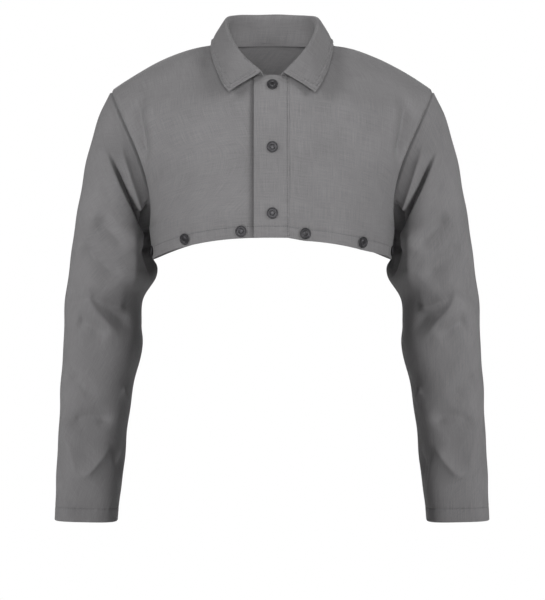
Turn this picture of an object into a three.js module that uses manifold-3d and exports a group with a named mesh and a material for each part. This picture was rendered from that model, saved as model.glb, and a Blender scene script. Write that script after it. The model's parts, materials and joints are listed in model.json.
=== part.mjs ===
// Welding cape sleeve: a cropped cape of flame-resistant cotton with a turned-down collar, a snap
// front and long set-in sleeves, in the shape that it has when worn.
// Millimetres, +Z up, the front faces -Y, +X is the wearer's left.
// The origin is the centre of the neck base, level with the neck ends of the shoulder seams.
import * as THREE from "three";
import { mergeVertices } from "three/addons/utils/BufferGeometryUtils.js";
import Module from "manifold-3d";

const wasm = await Module();
wasm.setup();

// Cloth and seams
const CLOTH = 1.4; // wall of single cloth
const DOUBLED = 2.2; // wall of doubled cloth, at hems, placket and collar
const SEAM_INSET = 0.3; // each sewn edge stops this far short of its seam line
const HEM_DEPTH = 15; // height of the turned hem at the body's lower edge
const CUFF_HEM_DEPTH = 19; // height of the turned hem at the sleeve ends
const HEM_STEP = 2; // height over which a hem's extra thickness runs out

// Front closing
const PLACKET_LAP = 24.8; // the placket's free edge, past the centre to the wearer's right
const PLACKET_SEAM = 23.5; // the placket's stitched seam, on the wearer's left
const UNDERLAP = 30; // the right front's edge, hidden under the placket
const LAP_GAP = 4.2; // clear space between the two fronts, taken up by the closed snaps
const LAP_GAP_AT_NECK = 1.4; // the same, where both are held at the neck
const LAP_EASE = 58; // width over which the left front comes back to the body's line
const LAP_EASE_AT_NECK = 22; // the same, at the neck
const LAP_NECK_SHARE = 0.08; // share of the front's height over which the gap narrows to the neck
const LEFT_HANG = { drop: 3.4, from_x: 15, full_x: 50, less_x: 125, to_x: 168, up: 0.3 };

// Neck and shoulder seams
const NECK = { half_width: 72, mid_y: 5, front: 89, back: 61, front_z: -53, back_z: 8 };
const NECK_SHARE = 0.38; // share of a panel's half width that runs to the neck, the rest to the shoulder
const SHOULDER = { tip_x: 232, tip_y: 6, tip_z: -68, droop: 1.75 };
const SHOULDER_BLEND = 0.2; // share of half width over which the neck edge becomes a rounded shoulder

// Armhole, from the shoulder tip (0 degrees) by the front or back to the underarm (180 degrees)
const UNDERARM = { x: 177, y: 6, z: -267 };
const ARMHOLE = { front_depth: 70, back_depth: 64, bow: 16.5, bow_low: 1.35, round: 0.9 };
const SLEEVE_SEAM_TOP = 0.7; // the sleeve's edge stands this far outside the armhole at the shoulder tip
const SLEEVE_SEAM_UNDER = 2.3; // and this far at the underarm, where both walls run side by side

// Body sections from hem to collarbone, each an arc from the centre (mid) to the side seam or armhole.
// at: share of the way from the hem to the shoulder seam; sweep: degrees of arc to the side.
const UNDERARM_AT = 0.2;
const SQUARENESS = 0.85; // exponent of the arcs: 1 is an ellipse, less is squarer
const SIDE_DROP = 2.5; // exponent of the fall from mid_z to side_z: higher keeps the middle level
const FRONT_SECTIONS = [
  { name: "hem", at: 0.0, mid_y: -128, mid_z: -282.7, side_x: 173, side_y: 6, side_z: -311, sweep: 90 },
  { name: "underarm", at: 0.2, mid_y: -128, mid_z: -245, side_x: 177, side_y: 6, side_z: -267, sweep: 90 },
  { name: "chest", at: 0.59, mid_y: -123, mid_z: -158, side_x: 189, side_y: -62, side_z: -171, sweep: 62 },
  { name: "collarbone", at: 0.8, mid_y: -107, mid_z: -88, side_x: 220, side_y: -26, side_z: -97, sweep: 52 },
];
const BACK_SECTIONS = [
  { name: "hem", at: 0.0, mid_y: 122, mid_z: -274, side_x: 173, side_y: 6, side_z: -311, sweep: 90 },
  { name: "underarm", at: 0.2, mid_y: 121, mid_z: -239, side_x: 177, side_y: 6, side_z: -267, sweep: 90 },
  { name: "chest", at: 0.59, mid_y: 115, mid_z: -150, side_x: 189, side_y: 66, side_z: -171, sweep: 62 },
  { name: "collarbone", at: 0.8, mid_y: 98, mid_z: -66, side_x: 220, side_y: 38, side_z: -97, sweep: 52 },
];

// Collar sections from centre back to the front end. turn: degrees round the neck seam from the centre
// front; roll: the fold at the top; edge: the outer edge of the fall; curl: half width of the fold.
const COLLAR_SECTIONS = [
  { turn: 180, roll_x: 0, roll_y: 58, roll_z: 44, edge_x: 0, edge_y: 84, edge_z: -6, curl: 4.0 },
  { turn: 135, roll_x: 47, roll_y: 42, roll_z: 41, edge_x: 64, edge_y: 60, edge_z: -6, curl: 4.0 },
  { turn: 90, roll_x: 63, roll_y: 4, roll_z: 30, edge_x: 87, edge_y: 3, edge_z: 0, curl: 4.0 },
  { turn: 54, roll_x: 54, roll_y: -49, roll_z: -4, edge_x: 83, edge_y: -48, edge_z: -29, curl: 3.8 },
  { turn: 32, roll_x: 37, roll_y: -76, roll_z: -28, edge_x: 71, edge_y: -97, edge_z: -61, curl: 3.4 },
  { turn: 11, roll_x: 14, roll_y: -91, roll_z: -49, edge_x: 61, edge_y: -115, edge_z: -77, curl: 2.6 },
];
const COLLAR_LIFT = 2.0; // the stand starts this far above the neck seam

// Sleeve sections from armhole to cuff. outer and inner: the ends of the section as seen from the front;
// mid_y: its centre in depth; depth: half its depth.
const SLEEVE_SECTIONS = [
  { at: 0.0, outer_x: 232, outer_z: -68, inner_x: 176, inner_z: -267, mid_y: 6, depth: 68 },
  { at: 0.09, outer_x: 252, outer_z: -110, inner_x: 178.5, inner_z: -290, mid_y: 5, depth: 73 },
  { at: 0.19, outer_x: 267.5, outer_z: -168, inner_x: 177, inner_z: -314, mid_y: 4, depth: 73 },
  { at: 0.29, outer_x: 279, outer_z: -226, inner_x: 173, inner_z: -338, mid_y: 3, depth: 71 },
  { at: 0.39, outer_x: 287, outer_z: -284, inner_x: 188, inner_z: -371, mid_y: 3, depth: 68 },
  { at: 0.51, outer_x: 298, outer_z: -371, inner_x: 190, inner_z: -408, mid_y: 3, depth: 65 },
  { at: 0.59, outer_x: 302, outer_z: -429, inner_x: 188.5, inner_z: -437, mid_y: 2, depth: 62 },
  { at: 0.68, outer_x: 304, outer_z: -487, inner_x: 200, inner_z: -492, mid_y: -2, depth: 59 },
  { at: 0.77, outer_x: 306.5, outer_z: -545, inner_x: 210, inner_z: -550, mid_y: -8, depth: 56 },
  { at: 0.86, outer_x: 309.5, outer_z: -603, inner_x: 214.6, inner_z: -604, mid_y: -14, depth: 52 },
  { at: 0.95, outer_x: 311, outer_z: -659, inner_x: 221, inner_z: -660, mid_y: -20, depth: 48 },
  { at: 1.0, outer_x: 312, outer_z: -686, inner_x: 223.5, inner_z: -688, mid_y: -22, depth: 47 },
];

// Folds, each a groove (negative depth) or ridge along a line on the surface from one place to another.
// On a sleeve: at along it, turn round it in degrees (0 outer, 90 front, 180 inner).
const SLEEVE_FOLDS = [
  { name: "armpit crease", at: 0.094, turn: 46, to_at: 0.078, to_turn: 172, depth: -11, width: 13 },
  { name: "cap ridge", at: 0.115, turn: 24, to_at: 0.118, to_turn: 120, depth: 5, width: 18 },
  { name: "armpit roll", at: 0.045, turn: 76, to_at: 0.02, to_turn: 140, depth: 4, width: 12 },
  { name: "upper drape", at: 0.285, turn: 40, to_at: 0.265, to_turn: 125, depth: -4, width: 17 },
  { name: "lower drape", at: 0.39, turn: 38, to_at: 0.362, to_turn: 145, depth: -3, width: 16 },
  { name: "elbow roll", at: 0.45, turn: 66, to_at: 0.42, to_turn: 160, depth: 4, width: 16 },
  { name: "elbow crease", at: 0.478, turn: 68, to_at: 0.592, to_turn: 172, depth: -6, width: 15 },
  { name: "wrist crease", at: 0.892, turn: 84, to_at: 0.828, to_turn: 172, depth: -4, width: 15 },
  { name: "rear armpit crease", at: 0.1, turn: 308, to_at: 0.09, to_turn: 200, depth: -9, width: 15 },
  { name: "rear elbow crease", at: 0.5, turn: 300, to_at: 0.57, to_turn: 205, depth: -5, width: 17 },
];
// On the front: at along it, across its half width.
const FRONT_FOLDS = [
  { name: "armhole dent", at: 0.88, across: 0.8, to_at: 0.5, to_across: 0.86, depth: -5, width: 20 },
];
const FOLD_STEPS = 6; // straight pieces that stand for a fold's line
const FOLD_FADE = 0.3; // share of a fold's length over which each end fades out

// Snaps
const SNAP = { sides: 8, cap_r: 8, cap_edge: 1.2, cap_h: 3.1, shank_r: 2.5 };
const SOCKET = { r: 6, h: 2, bore_r: 3.2, bore_depth: 1.3 };
const STUD = { base_r: 6, base_h: 0.8, knob_r: 2.7, knob_h: 1.2, back_r: 5.5, back_h: 0.8 };
const SNAP_GAP = 0.3; // clearance between a snap and the cloth that it holds
const HOLE_R = 2.9; // hole in the cloth for a shank
const PUNCH_REACH = 5; // how far the punch that makes it stands out of the cloth on each side
const FRONT_SNAP_X = 0.5;
const FRONT_SNAP_Z = [-69, -156.5, -249.5];
const HEM_SNAP_UP = 9; // height of the hem snaps above the hem
const HEM_SNAPS_ACROSS = [-0.9, -0.46, -0.125, 0.136, 0.488, 0.9];

// Mesh density
const BODY_ROWS = 13;
const FRONT_COLUMNS = 9;
const PLACKET_COLUMNS = 3;
const BACK_COLUMNS = 18;
const COLLAR_STEPS = 32;
const SLEEVE_STEPS_ROUND = 22;
const SLEEVE_STEPS_ALONG = 22;

// Small maths

const radians = THREE.MathUtils.degToRad;
const mix = THREE.MathUtils.lerp;
const point = (x, y, z) => new THREE.Vector3(x, y, z);
const range = (count) => Array.from({ length: count + 1 }, (_, i) => i / count);
const power = (value, exponent) => Math.sign(value) * Math.abs(value) ** exponent;

// Smooth curve through values at increasing places: cubic pieces whose slopes come from the neighbours.
function through(places, values, where) {
  const last = places.length - 1;
  let k = 0;
  while (k < last - 1 && where > places[k + 1]) k++;
  const slope = (i) => {
    const a = Math.max(0, i - 1);
    const b = Math.min(last, i + 1);
    return (values[b] - values[a]) / (places[b] - places[a]);
  };
  const span = places[k + 1] - places[k];
  const u = (where - places[k]) / span;
  const ease = u * u * (3 - 2 * u);
  return (
    mix(values[k], values[k + 1], ease) +
    span * (slope(k) * u * (1 - u) * (1 - u) - slope(k + 1) * u * u * (1 - u))
  );
}

function pointThrough(places, points, where) {
  const along = (axis) => through(places, points.map((p) => p[axis]), where);
  return point(along("x"), along("y"), along("z"));
}

// Outward normal of a surface given as a function of two parameters, by small differences.
function normalOf(surface, a, b, sense) {
  const step = 1e-3;
  const da = surface(a + step, b).sub(surface(a - step, b));
  const db = surface(a, b + step).sub(surface(a, b - step));
  return da.cross(db).normalize().multiplyScalar(sense);
}

// Seam lines

// The neck seam, from centre front (0 degrees) over the shoulder (90) to centre back (180).
function neckSeam(turn) {
  const c = Math.cos(radians(turn));
  const reach = c > 0 ? NECK.front : NECK.back;
  const end_z = c > 0 ? NECK.front_z : NECK.back_z;
  return point(NECK.half_width * Math.sin(radians(turn)), NECK.mid_y - reach * c, end_z * Math.abs(c));
}

// The shoulder seam, from the neck (0) to the shoulder tip (1), which droops towards the tip.
function shoulderSeam(share) {
  return point(
    mix(NECK.half_width, SHOULDER.tip_x, share),
    mix(NECK.mid_y, SHOULDER.tip_y, share),
    SHOULDER.tip_z * power(share, SHOULDER.droop),
  );
}

// The armhole on one side (facing -1 front, +1 back): an upright oval that bows in towards the chest.
function armhole(turn, facing) {
  const t = radians(turn);
  const down = (1 - Math.cos(t)) / 2;
  const reach = facing < 0 ? ARMHOLE.front_depth : ARMHOLE.back_depth;
  const bow = ARMHOLE.bow * Math.sin(Math.PI * power(turn / 180, ARMHOLE.bow_low)) ** 2;
  return point(
    mix(SHOULDER.tip_x, UNDERARM.x, down) - bow,
    mix(SHOULDER.tip_y, UNDERARM.y, down) + facing * reach * power(Math.sin(t), ARMHOLE.round),
    mix(SHOULDER.tip_z, UNDERARM.z, down),
  );
}

// Body

// One body section: an arc from the centre (across 0) to the side (across 1 or -1).
function sectionPoint(section, across) {
  const sweep = radians(section.sweep);
  const turn = Math.abs(across) * sweep;
  const out = power(Math.sin(turn) / Math.sin(sweep), SQUARENESS);
  const round = (1 - power(Math.cos(turn), SQUARENESS)) / (1 - power(Math.cos(sweep), SQUARENESS));
  return point(
    Math.sign(across) * section.side_x * out,
    mix(section.mid_y, section.side_y, round),
    mix(section.mid_z, section.side_z, Math.abs(out) ** SIDE_DROP),
  );
}

// The upper edge of a panel: the neck seam, then the shoulder seam.
function topEdge(across, facing) {
  const half = Math.abs(across);
  const turn = (90 * half) / NECK_SHARE;
  const p =
    half < NECK_SHARE
      ? neckSeam(facing < 0 ? turn : 180 - turn)
      : shoulderSeam((half - NECK_SHARE) / (1 - NECK_SHARE));
  p.x *= across < 0 ? -1 : 1;
  return p;
}

// The outer edge of a panel: the side seam up to the underarm, then the armhole.
function sideEdge(at, facing, sections) {
  if (at > UNDERARM_AT) return armhole(180 * (1 - (at - UNDERARM_AT) / (1 - UNDERARM_AT)), facing);
  const [hem, underarm] = sections;
  const share = at / UNDERARM_AT;
  return point(
    mix(hem.side_x, underarm.side_x, share),
    mix(hem.side_y, underarm.side_y, share),
    mix(hem.side_z, underarm.side_z, share),
  );
}

// A body half as a surface of across (-1 to 1) and at (0 hem, 1 shoulder): a smooth curve through the
// sections and the upper edge, rounded over the shoulder towards the other half, whose outer edge is
// then drawn exactly on to the side seam and armhole.
function bodySurface(sections, otherSections, facing) {
  const collarbone = sections[sections.length - 1];
  const beyond = otherSections[otherSections.length - 1];
  const places = [...sections.map((section) => section.at), 1, 2 - beyond.at];
  const loose = (across, at) => {
    const top = topEdge(across, facing);
    const straight = top.clone().multiplyScalar(2).sub(sectionPoint(collarbone, across));
    const rounded = THREE.MathUtils.smoothstep(Math.abs(across), NECK_SHARE, NECK_SHARE + SHOULDER_BLEND);
    const over = straight.lerp(sectionPoint(beyond, across), rounded);
    return pointThrough(places, [...sections.map((section) => sectionPoint(section, across)), top, over], at);
  };
  return (across, at) => {
    const half = Math.abs(across);
    const shift = sideEdge(at, facing, sections).sub(loose(1, at)).multiplyScalar(half ** 4);
    shift.x *= Math.sign(across);
    return loose(across, at).add(shift);
  };
}

// Folds

// How far the folds push a place on a surface out, from its distance to each fold's line.
function foldDepth(folds, lines, where) {
  let total = 0;
  folds.forEach((fold, k) => {
    const near = nearest(lines[k], where);
    const fade =
      THREE.MathUtils.smoothstep(near.share, 0, FOLD_FADE) *
      THREE.MathUtils.smoothstep(1 - near.share, 0, FOLD_FADE);
    total += fold.depth * fade * Math.exp(-((near.distance / fold.width) ** 2));
  });
  return total;
}

// Distance from a place to a line of points, and the share of the line's length at the nearest point.
function nearest(line, where) {
  const found = { distance: Infinity, share: 0 };
  const foot = new THREE.Vector3();
  for (let i = 0; i + 1 < line.length; i++) {
    const piece = new THREE.Line3(line[i], line[i + 1]);
    const share = piece.closestPointToPointParameter(where, true);
    const distance = piece.at(share, foot).distanceTo(where);
    if (distance < found.distance) Object.assign(found, { distance, share: (i + share) / (line.length - 1) });
  }
  return found;
}

// A surface pushed along its normal by its folds, whose lines run straight between their two ends.
function folded(surface, folds, ends, sense) {
  const lines = folds.map((fold) => {
    const [from, to] = ends(fold);
    return range(FOLD_STEPS).map((u) => surface(mix(from[0], to[0], u), mix(from[1], to[1], u)));
  });
  return (a, b) => {
    const p = surface(a, b);
    const push = foldDepth(folds, lines, p);
    return Math.abs(push) < 1e-3 ? p : p.addScaledVector(normalOf(surface, a, b, sense), push);
  };
}

// Walls

// A closed wall about a grid of points: rows of points, each with its normal and thickness. A ring's
// rows close on themselves. Edges named in insets are drawn back along the wall by that much.
function wall(rows, { ring = false, insets = {} } = {}) {
  const count = rows[0].length;
  const drawBack = (cell, next, by = 0) => {
    const towards = next.p.clone().sub(cell.p).normalize();
    cell.p.addScaledVector(towards, by);
  };
  rows.forEach((row) => {
    drawBack(row[0], row[1], insets.first);
    drawBack(row[count - 1], row[count - 2], insets.last);
  });
  rows[0].forEach((cell, j) => drawBack(cell, rows[1][j], insets.lower));
  rows[rows.length - 1].forEach((cell, j) => drawBack(cell, rows[rows.length - 2][j], insets.upper));

  const vertices = [];
  const faces = [];
  const index = (i, j, inner) => 2 * (i * count + (j % count)) + inner;
  const quad = (a, b, c, d) => faces.push(a, b, c, a, c, d);
  rows.forEach((row) =>
    row.forEach(({ p, normal, thick }) => {
      vertices.push(...p.clone().addScaledVector(normal, thick / 2).toArray());
      vertices.push(...p.clone().addScaledVector(normal, -thick / 2).toArray());
    }),
  );
  const columns = ring ? count : count - 1;
  for (let j = 0; j < columns; j++) {
    for (let i = 0; i + 1 < rows.length; i++) {
      quad(index(i, j, 0), index(i, j + 1, 0), index(i + 1, j + 1, 0), index(i + 1, j, 0));
      quad(index(i, j, 1), index(i + 1, j, 1), index(i + 1, j + 1, 1), index(i, j + 1, 1));
    }
    const top = rows.length - 1;
    quad(index(0, j, 1), index(0, j + 1, 1), index(0, j + 1, 0), index(0, j, 0));
    quad(index(top, j, 0), index(top, j + 1, 0), index(top, j + 1, 1), index(top, j, 1));
  }
  const end = count - 1;
  for (let i = 0; !ring && i + 1 < rows.length; i++) {
    quad(index(i, 0, 0), index(i + 1, 0, 0), index(i + 1, 0, 1), index(i, 0, 1));
    quad(index(i, end, 1), index(i + 1, end, 1), index(i + 1, end, 0), index(i, end, 0));
  }
  return new THREE.BufferGeometry()
    .setAttribute("position", new THREE.Float32BufferAttribute(vertices, 3))
    .setIndex(faces);
}

// The same wall on the other side of the body.
function mirrored(geometry) {
  const made = geometry.clone().scale(-1, 1, 1);
  const faces = made.index.array;
  for (let i = 0; i < faces.length; i += 3) [faces[i + 1], faces[i + 2]] = [faces[i + 2], faces[i + 1]];
  return made;
}

// Solid cuts

function solidOf(geometry) {
  const bare = new THREE.BufferGeometry()
    .setAttribute("position", geometry.getAttribute("position"))
    .setIndex(geometry.index);
  const merged = mergeVertices(bare, 1e-4);
  return new wasm.Manifold(
    new wasm.Mesh({
      numProp: 3,
      vertProperties: new Float32Array(merged.attributes.position.array),
      triVerts: new Uint32Array(merged.index.array),
    }),
  );
}

function geometryOf(solid) {
  const mesh = solid.getMesh();
  return new THREE.BufferGeometry()
    .setAttribute("position", new THREE.BufferAttribute(mesh.vertProperties, 3))
    .setIndex(new THREE.BufferAttribute(mesh.triVerts, 1));
}

// A wall with a hole at each of the given places, pressed flat round it under the snap's two flanges.
function punched(geometry, places, thick, outer_r, inner_r) {
  const punch = lathe([
    [0, -thick - PUNCH_REACH],
    [inner_r + SNAP_GAP, -thick - PUNCH_REACH],
    [inner_r + SNAP_GAP, -thick],
    [HOLE_R, -thick],
    [HOLE_R, 0],
    [outer_r + SNAP_GAP, 0],
    [outer_r + SNAP_GAP, PUNCH_REACH],
    [0, PUNCH_REACH],
  ]);
  const holed = places.reduce(
    (solid, place) => solid.subtract(solidOf(punch.clone().applyMatrix4(place))),
    solidOf(geometry),
  );
  return geometryOf(holed);
}

// The two body halves

const foldEnds = (fold) => [[fold.across, fold.at], [fold.to_across, fold.to_at]];
const otherSide = (fold) => ({ ...fold, across: -fold.across, to_across: -fold.to_across });
const frontFolds = [...FRONT_FOLDS, ...FRONT_FOLDS.map(otherSide)];
const front = folded(bodySurface(FRONT_SECTIONS, BACK_SECTIONS, -1), frontFolds, foldEnds, 1);
const back = bodySurface(BACK_SECTIONS, FRONT_SECTIONS, 1);

// Share of the panel's height for a height above the hem.
function aboveHem(height) {
  const [hem, underarm] = FRONT_SECTIONS;
  return (height / (underarm.mid_z - hem.mid_z)) * UNDERARM_AT;
}

// Rows of the body walls: even steps, and two close rows where the hem's extra thickness runs out.
function bodyRows() {
  const hem = aboveHem(HEM_DEPTH);
  const step = aboveHem(HEM_STEP);
  return [0, hem, hem + step, ...range(BODY_ROWS).filter((at) => at > hem + 2 * step)];
}

const hemRows = 2;
const bodyThickness = (row) => (row < hemRows ? DOUBLED : CLOTH);

// Normal of a panel. Along the shoulder seam both panels share the mean of theirs, so that they meet.
function panelNormal(across, at, surface, sense) {
  if (at < 1 || Math.abs(across) < NECK_SHARE) return normalOf(surface, across, at, sense);
  return normalOf(front, across, at, 1).add(normalOf(back, across, at, -1)).normalize();
}

// Across value at which the front reaches a given x.
function acrossAt(x, at) {
  let low = -1;
  let high = 1;
  for (let i = 0; i < 30; i++) {
    const mid = (low + high) / 2;
    if (front(mid, at).x < x) low = mid;
    else high = mid;
  }
  return (low + high) / 2;
}

// Across and at of the place where the front shows a given x and z from ahead.
function placeOnFront(x, z) {
  let low = 0;
  let high = 0.97;
  for (let i = 0; i < 30; i++) {
    const mid = (low + high) / 2;
    if (front(acrossAt(x, mid), mid).z < z) low = mid;
    else high = mid;
  }
  return [acrossAt(x, low), low];
}

// How far the left front and placket stand ahead of the body's line to clear the right front.
function lapForward(x, at, thick, normal) {
  const near_neck = THREE.MathUtils.smoothstep(at, 1 - LAP_NECK_SHARE, 1);
  const gap = mix(LAP_GAP, LAP_GAP_AT_NECK, near_neck);
  const width = mix(LAP_EASE, LAP_EASE_AT_NECK, near_neck);
  const ease = 1 - THREE.MathUtils.smoothstep(x, UNDERLAP + 2, UNDERLAP + width);
  return (ease * (CLOTH / 2 + gap + thick / 2)) / Math.max(0.5, Math.abs(normal.y));
}

// How much lower the left front hangs near its hem: most beside the placket, nothing at the side seam.
function leftHang(x, at) {
  const out = THREE.MathUtils.smoothstep(x, LEFT_HANG.from_x, LEFT_HANG.full_x);
  const back_up = 1 - THREE.MathUtils.smoothstep(x, LEFT_HANG.less_x, LEFT_HANG.to_x);
  return LEFT_HANG.drop * out * back_up * (1 - THREE.MathUtils.smoothstep(at, 0, LEFT_HANG.up));
}

// A front wall between two edges given as across values at each row.
function frontWall({ columns, from, to, thickness, lapped, hung, insets }) {
  const rows = bodyRows().map((at, i) =>
    range(columns).map((u) => {
      const across = mix(from(at), to(at), u);
      const thick = thickness(i);
      const p = front(across, at);
      const normal = panelNormal(across, at, front, 1);
      if (lapped) p.y -= lapForward(p.x, at, thick, normal);
      if (hung) p.z -= leftHang(p.x, at);
      return { p, normal, thick };
    }),
  );
  return wall(rows, { insets });
}

function backWall() {
  const rows = bodyRows().map((at, i) =>
    range(BACK_COLUMNS).map((u) => {
      const across = mix(1, -1, u);
      return { p: back(across, at), normal: panelNormal(across, at, back, -1), thick: bodyThickness(i) };
    }),
  );
  return wall(rows, { insets: { first: SEAM_INSET, last: SEAM_INSET, upper: SEAM_INSET } });
}

// Collar

// The sections from the front end to the back, and the next one past it, so that the back stays round.
const [, beside] = COLLAR_SECTIONS;
const pastBack = { ...beside, turn: 360 - beside.turn, roll_x: -beside.roll_x, edge_x: -beside.edge_x };
const collarRows = [...[...COLLAR_SECTIONS].reverse(), pastBack];

// One collar section from the neck seam (0) up the stand, over the roll and down the fall (1).
function collarPoint(turn, share) {
  const half = Math.min(turn, 360 - turn);
  const value = (key) => through(collarRows.map((row) => row.turn), collarRows.map((row) => row[key]), half);
  const foot = neckSeam(half);
  foot.z += COLLAR_LIFT;
  const roll = point(value("roll_x"), value("roll_y"), value("roll_z"));
  const edge = point(value("edge_x"), value("edge_y"), value("edge_z"));
  const curl = value("curl");
  const out = edge.clone().sub(roll).setZ(0).normalize();
  const crest = roll.clone().addScaledVector(out, curl).add(point(0, 0, curl));
  const turned = roll.clone().addScaledVector(out, 2 * curl);
  const stand = foot.clone().lerp(roll, 0.5);
  const fall = turned.clone().lerp(edge, 0.5).addScaledVector(out, curl * 0.5);
  const places = [0, 0.2, 0.4, 0.48, 0.56, 0.78, 1];
  const p = pointThrough(places, [foot, stand, roll, crest, turned, fall, edge], share);
  if (turn > 180) p.x = -p.x;
  return p;
}

function collarWall() {
  const end = COLLAR_SECTIONS[COLLAR_SECTIONS.length - 1].turn;
  const shares = [0, 0.2, 0.38, 0.44, 0.48, 0.53, 0.6, 0.73, 0.86, 1];
  const rows = shares.map((share) =>
    range(COLLAR_STEPS).map((u) => {
      const turn = mix(end, 360 - end, u);
      const normal = normalOf(collarPoint, turn, share, 1);
      return { p: collarPoint(turn, share), normal, thick: DOUBLED };
    }),
  );
  return wall(rows);
}

// Sleeves

// One sleeve section: an oval between its outer and inner ends; the first is the armhole itself.
function sleeveRing(section, turn) {
  const t = radians(turn);
  if (section.at === 0) {
    const back_half = ((turn % 360) + 360) % 360 > 180;
    const p = armhole(back_half ? 360 - turn : turn, back_half ? 1 : -1);
    p.x += mix(SLEEVE_SEAM_TOP, SLEEVE_SEAM_UNDER, (1 - Math.cos(t)) / 2);
    return p;
  }
  const inward = (1 - Math.cos(t)) / 2;
  return point(
    mix(section.outer_x, section.inner_x, inward),
    section.mid_y - section.depth * Math.sin(t),
    mix(section.outer_z, section.inner_z, inward),
  );
}

function plainSleeve(turn, at) {
  const places = SLEEVE_SECTIONS.map((section) => section.at);
  return pointThrough(places, SLEEVE_SECTIONS.map((section) => sleeveRing(section, turn)), at);
}

const sleeve = folded(
  plainSleeve,
  SLEEVE_FOLDS,
  (fold) => [[fold.turn, fold.at], [fold.to_turn, fold.to_at]],
  1,
);

function sleeveWall() {
  const [upper, lower] = SLEEVE_SECTIONS.slice(-2);
  const length = (upper.outer_z - lower.outer_z) / (lower.at - upper.at);
  const hem = 1 - CUFF_HEM_DEPTH / length;
  const step = HEM_STEP / length;
  const steps = range(SLEEVE_STEPS_ALONG).filter((at) => at < hem - 2 * step);
  const ats = [...steps, hem - step, hem, 1];
  const rows = ats.map((at) =>
    range(SLEEVE_STEPS_ROUND)
      .slice(0, -1)
      .map((u) => {
        const turn = 360 * u;
        const thick = at >= hem ? DOUBLED : CLOTH;
        return { p: sleeve(turn, at), normal: normalOf(sleeve, turn, Math.max(at, 2e-3), 1), thick };
      }),
  );
  return wall(rows, { ring: true });
}

// Snaps

// A frame on a front wall's outer face whose +Y points outwards.
function snapPlace(geometry, [across, at], lower = 0) {
  const normal = normalOf(front, across, at, 1);
  const ahead = front(across, at).addScaledVector(normal, 10 * LAP_GAP).sub(point(0, 0, lower));
  const ray = new THREE.Raycaster(ahead, normal.clone().negate());
  const [hit] = ray.intersectObject(new THREE.Mesh(geometry));
  const turn = new THREE.Quaternion().setFromUnitVectors(point(0, 1, 0), normal);
  return new THREE.Matrix4().compose(hit.point, turn, point(1, 1, 1));
}

const lathe = (profile) =>
  new THREE.LatheGeometry(profile.map(([r, h]) => new THREE.Vector2(r, h)), SNAP.sides);

// Cap outside the cloth, shank through it, and a socket with a hole on its inner side.
function snapGeometry(thick) {
  const seat = -thick - SNAP_GAP;
  const mouth = seat - SOCKET.h;
  return lathe([
    [0, mouth + SOCKET.bore_depth],
    [SOCKET.bore_r, mouth + SOCKET.bore_depth],
    [SOCKET.bore_r, mouth],
    [SOCKET.r, mouth],
    [SOCKET.r, seat],
    [SNAP.shank_r, seat],
    [SNAP.shank_r, SNAP_GAP],
    [SNAP.cap_r, SNAP_GAP],
    [SNAP.cap_r, SNAP.cap_edge],
    [SNAP.cap_r * 0.86, SNAP.cap_h * 0.72],
    [SNAP.cap_r * 0.45, SNAP.cap_h * 0.94],
    [0, SNAP.cap_h],
  ]);
}

// Knob and base outside the under front, shank through it, and a plain back.
function studGeometry(thick) {
  const seat = -thick - SNAP_GAP;
  const base = SNAP_GAP + STUD.base_h;
  return lathe([
    [0, seat - STUD.back_h],
    [STUD.back_r, seat - STUD.back_h],
    [STUD.back_r, seat],
    [SNAP.shank_r, seat],
    [SNAP.shank_r, SNAP_GAP],
    [STUD.base_r, SNAP_GAP],
    [STUD.base_r, base],
    [STUD.knob_r, base],
    [STUD.knob_r, base + STUD.knob_h],
    [0, base + STUD.knob_h],
  ]);
}

// Assembly

const cloth = new THREE.MeshStandardMaterial({ color: 0x6b6a6b, roughness: 0.95, metalness: 0 });
const metal = new THREE.MeshStandardMaterial({ color: 0x3a393b, roughness: 0.5, metalness: 0.6 });
const cape = new THREE.Group();

function add(name, geometry, material, place) {
  const mesh = new THREE.Mesh(geometry, material);
  mesh.name = name;
  if (place) mesh.applyMatrix4(place);
  cape.add(mesh);
}

const frontRight = frontWall({
  columns: FRONT_COLUMNS,
  from: () => -1,
  to: (at) => acrossAt(UNDERLAP, at),
  thickness: bodyThickness,
  lapped: false,
  insets: { first: SEAM_INSET, upper: SEAM_INSET },
});
const frontLeft = frontWall({
  columns: FRONT_COLUMNS,
  from: (at) => acrossAt(PLACKET_SEAM, at),
  to: () => 1,
  thickness: bodyThickness,
  lapped: true,
  hung: true,
  insets: { first: SEAM_INSET, last: SEAM_INSET, upper: SEAM_INSET },
});
const placket = frontWall({
  columns: PLACKET_COLUMNS,
  from: (at) => acrossAt(-PLACKET_LAP, at),
  to: (at) => acrossAt(PLACKET_SEAM, at),
  thickness: () => DOUBLED,
  lapped: true,
  insets: { last: SEAM_INSET, upper: SEAM_INSET },
});
const hemSnapPlaces = HEM_SNAPS_ACROSS.map((across) => {
  const at = aboveHem(HEM_SNAP_UP);
  if (across < 0) return snapPlace(frontRight, [across, at]);
  return snapPlace(frontLeft, [across, at], leftHang(front(across, at).x, at));
});
const rightHemSnaps = hemSnapPlaces.filter((_, i) => HEM_SNAPS_ACROSS[i] < 0);
const leftHemSnaps = hemSnapPlaces.filter((_, i) => HEM_SNAPS_ACROSS[i] > 0);
const frontSnapSpots = FRONT_SNAP_Z.map((z) => placeOnFront(FRONT_SNAP_X, z));
const frontSnapPlaces = frontSnapSpots.map((spot) => snapPlace(placket, spot));
const frontStudPlaces = frontSnapSpots.map((spot) => snapPlace(frontRight, spot));
const forSnaps = (geometry, places) => punched(geometry, places, DOUBLED, SNAP.cap_r, SOCKET.r);
const forStuds = (geometry, places) => punched(geometry, places, CLOTH, STUD.base_r, STUD.back_r);

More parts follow.
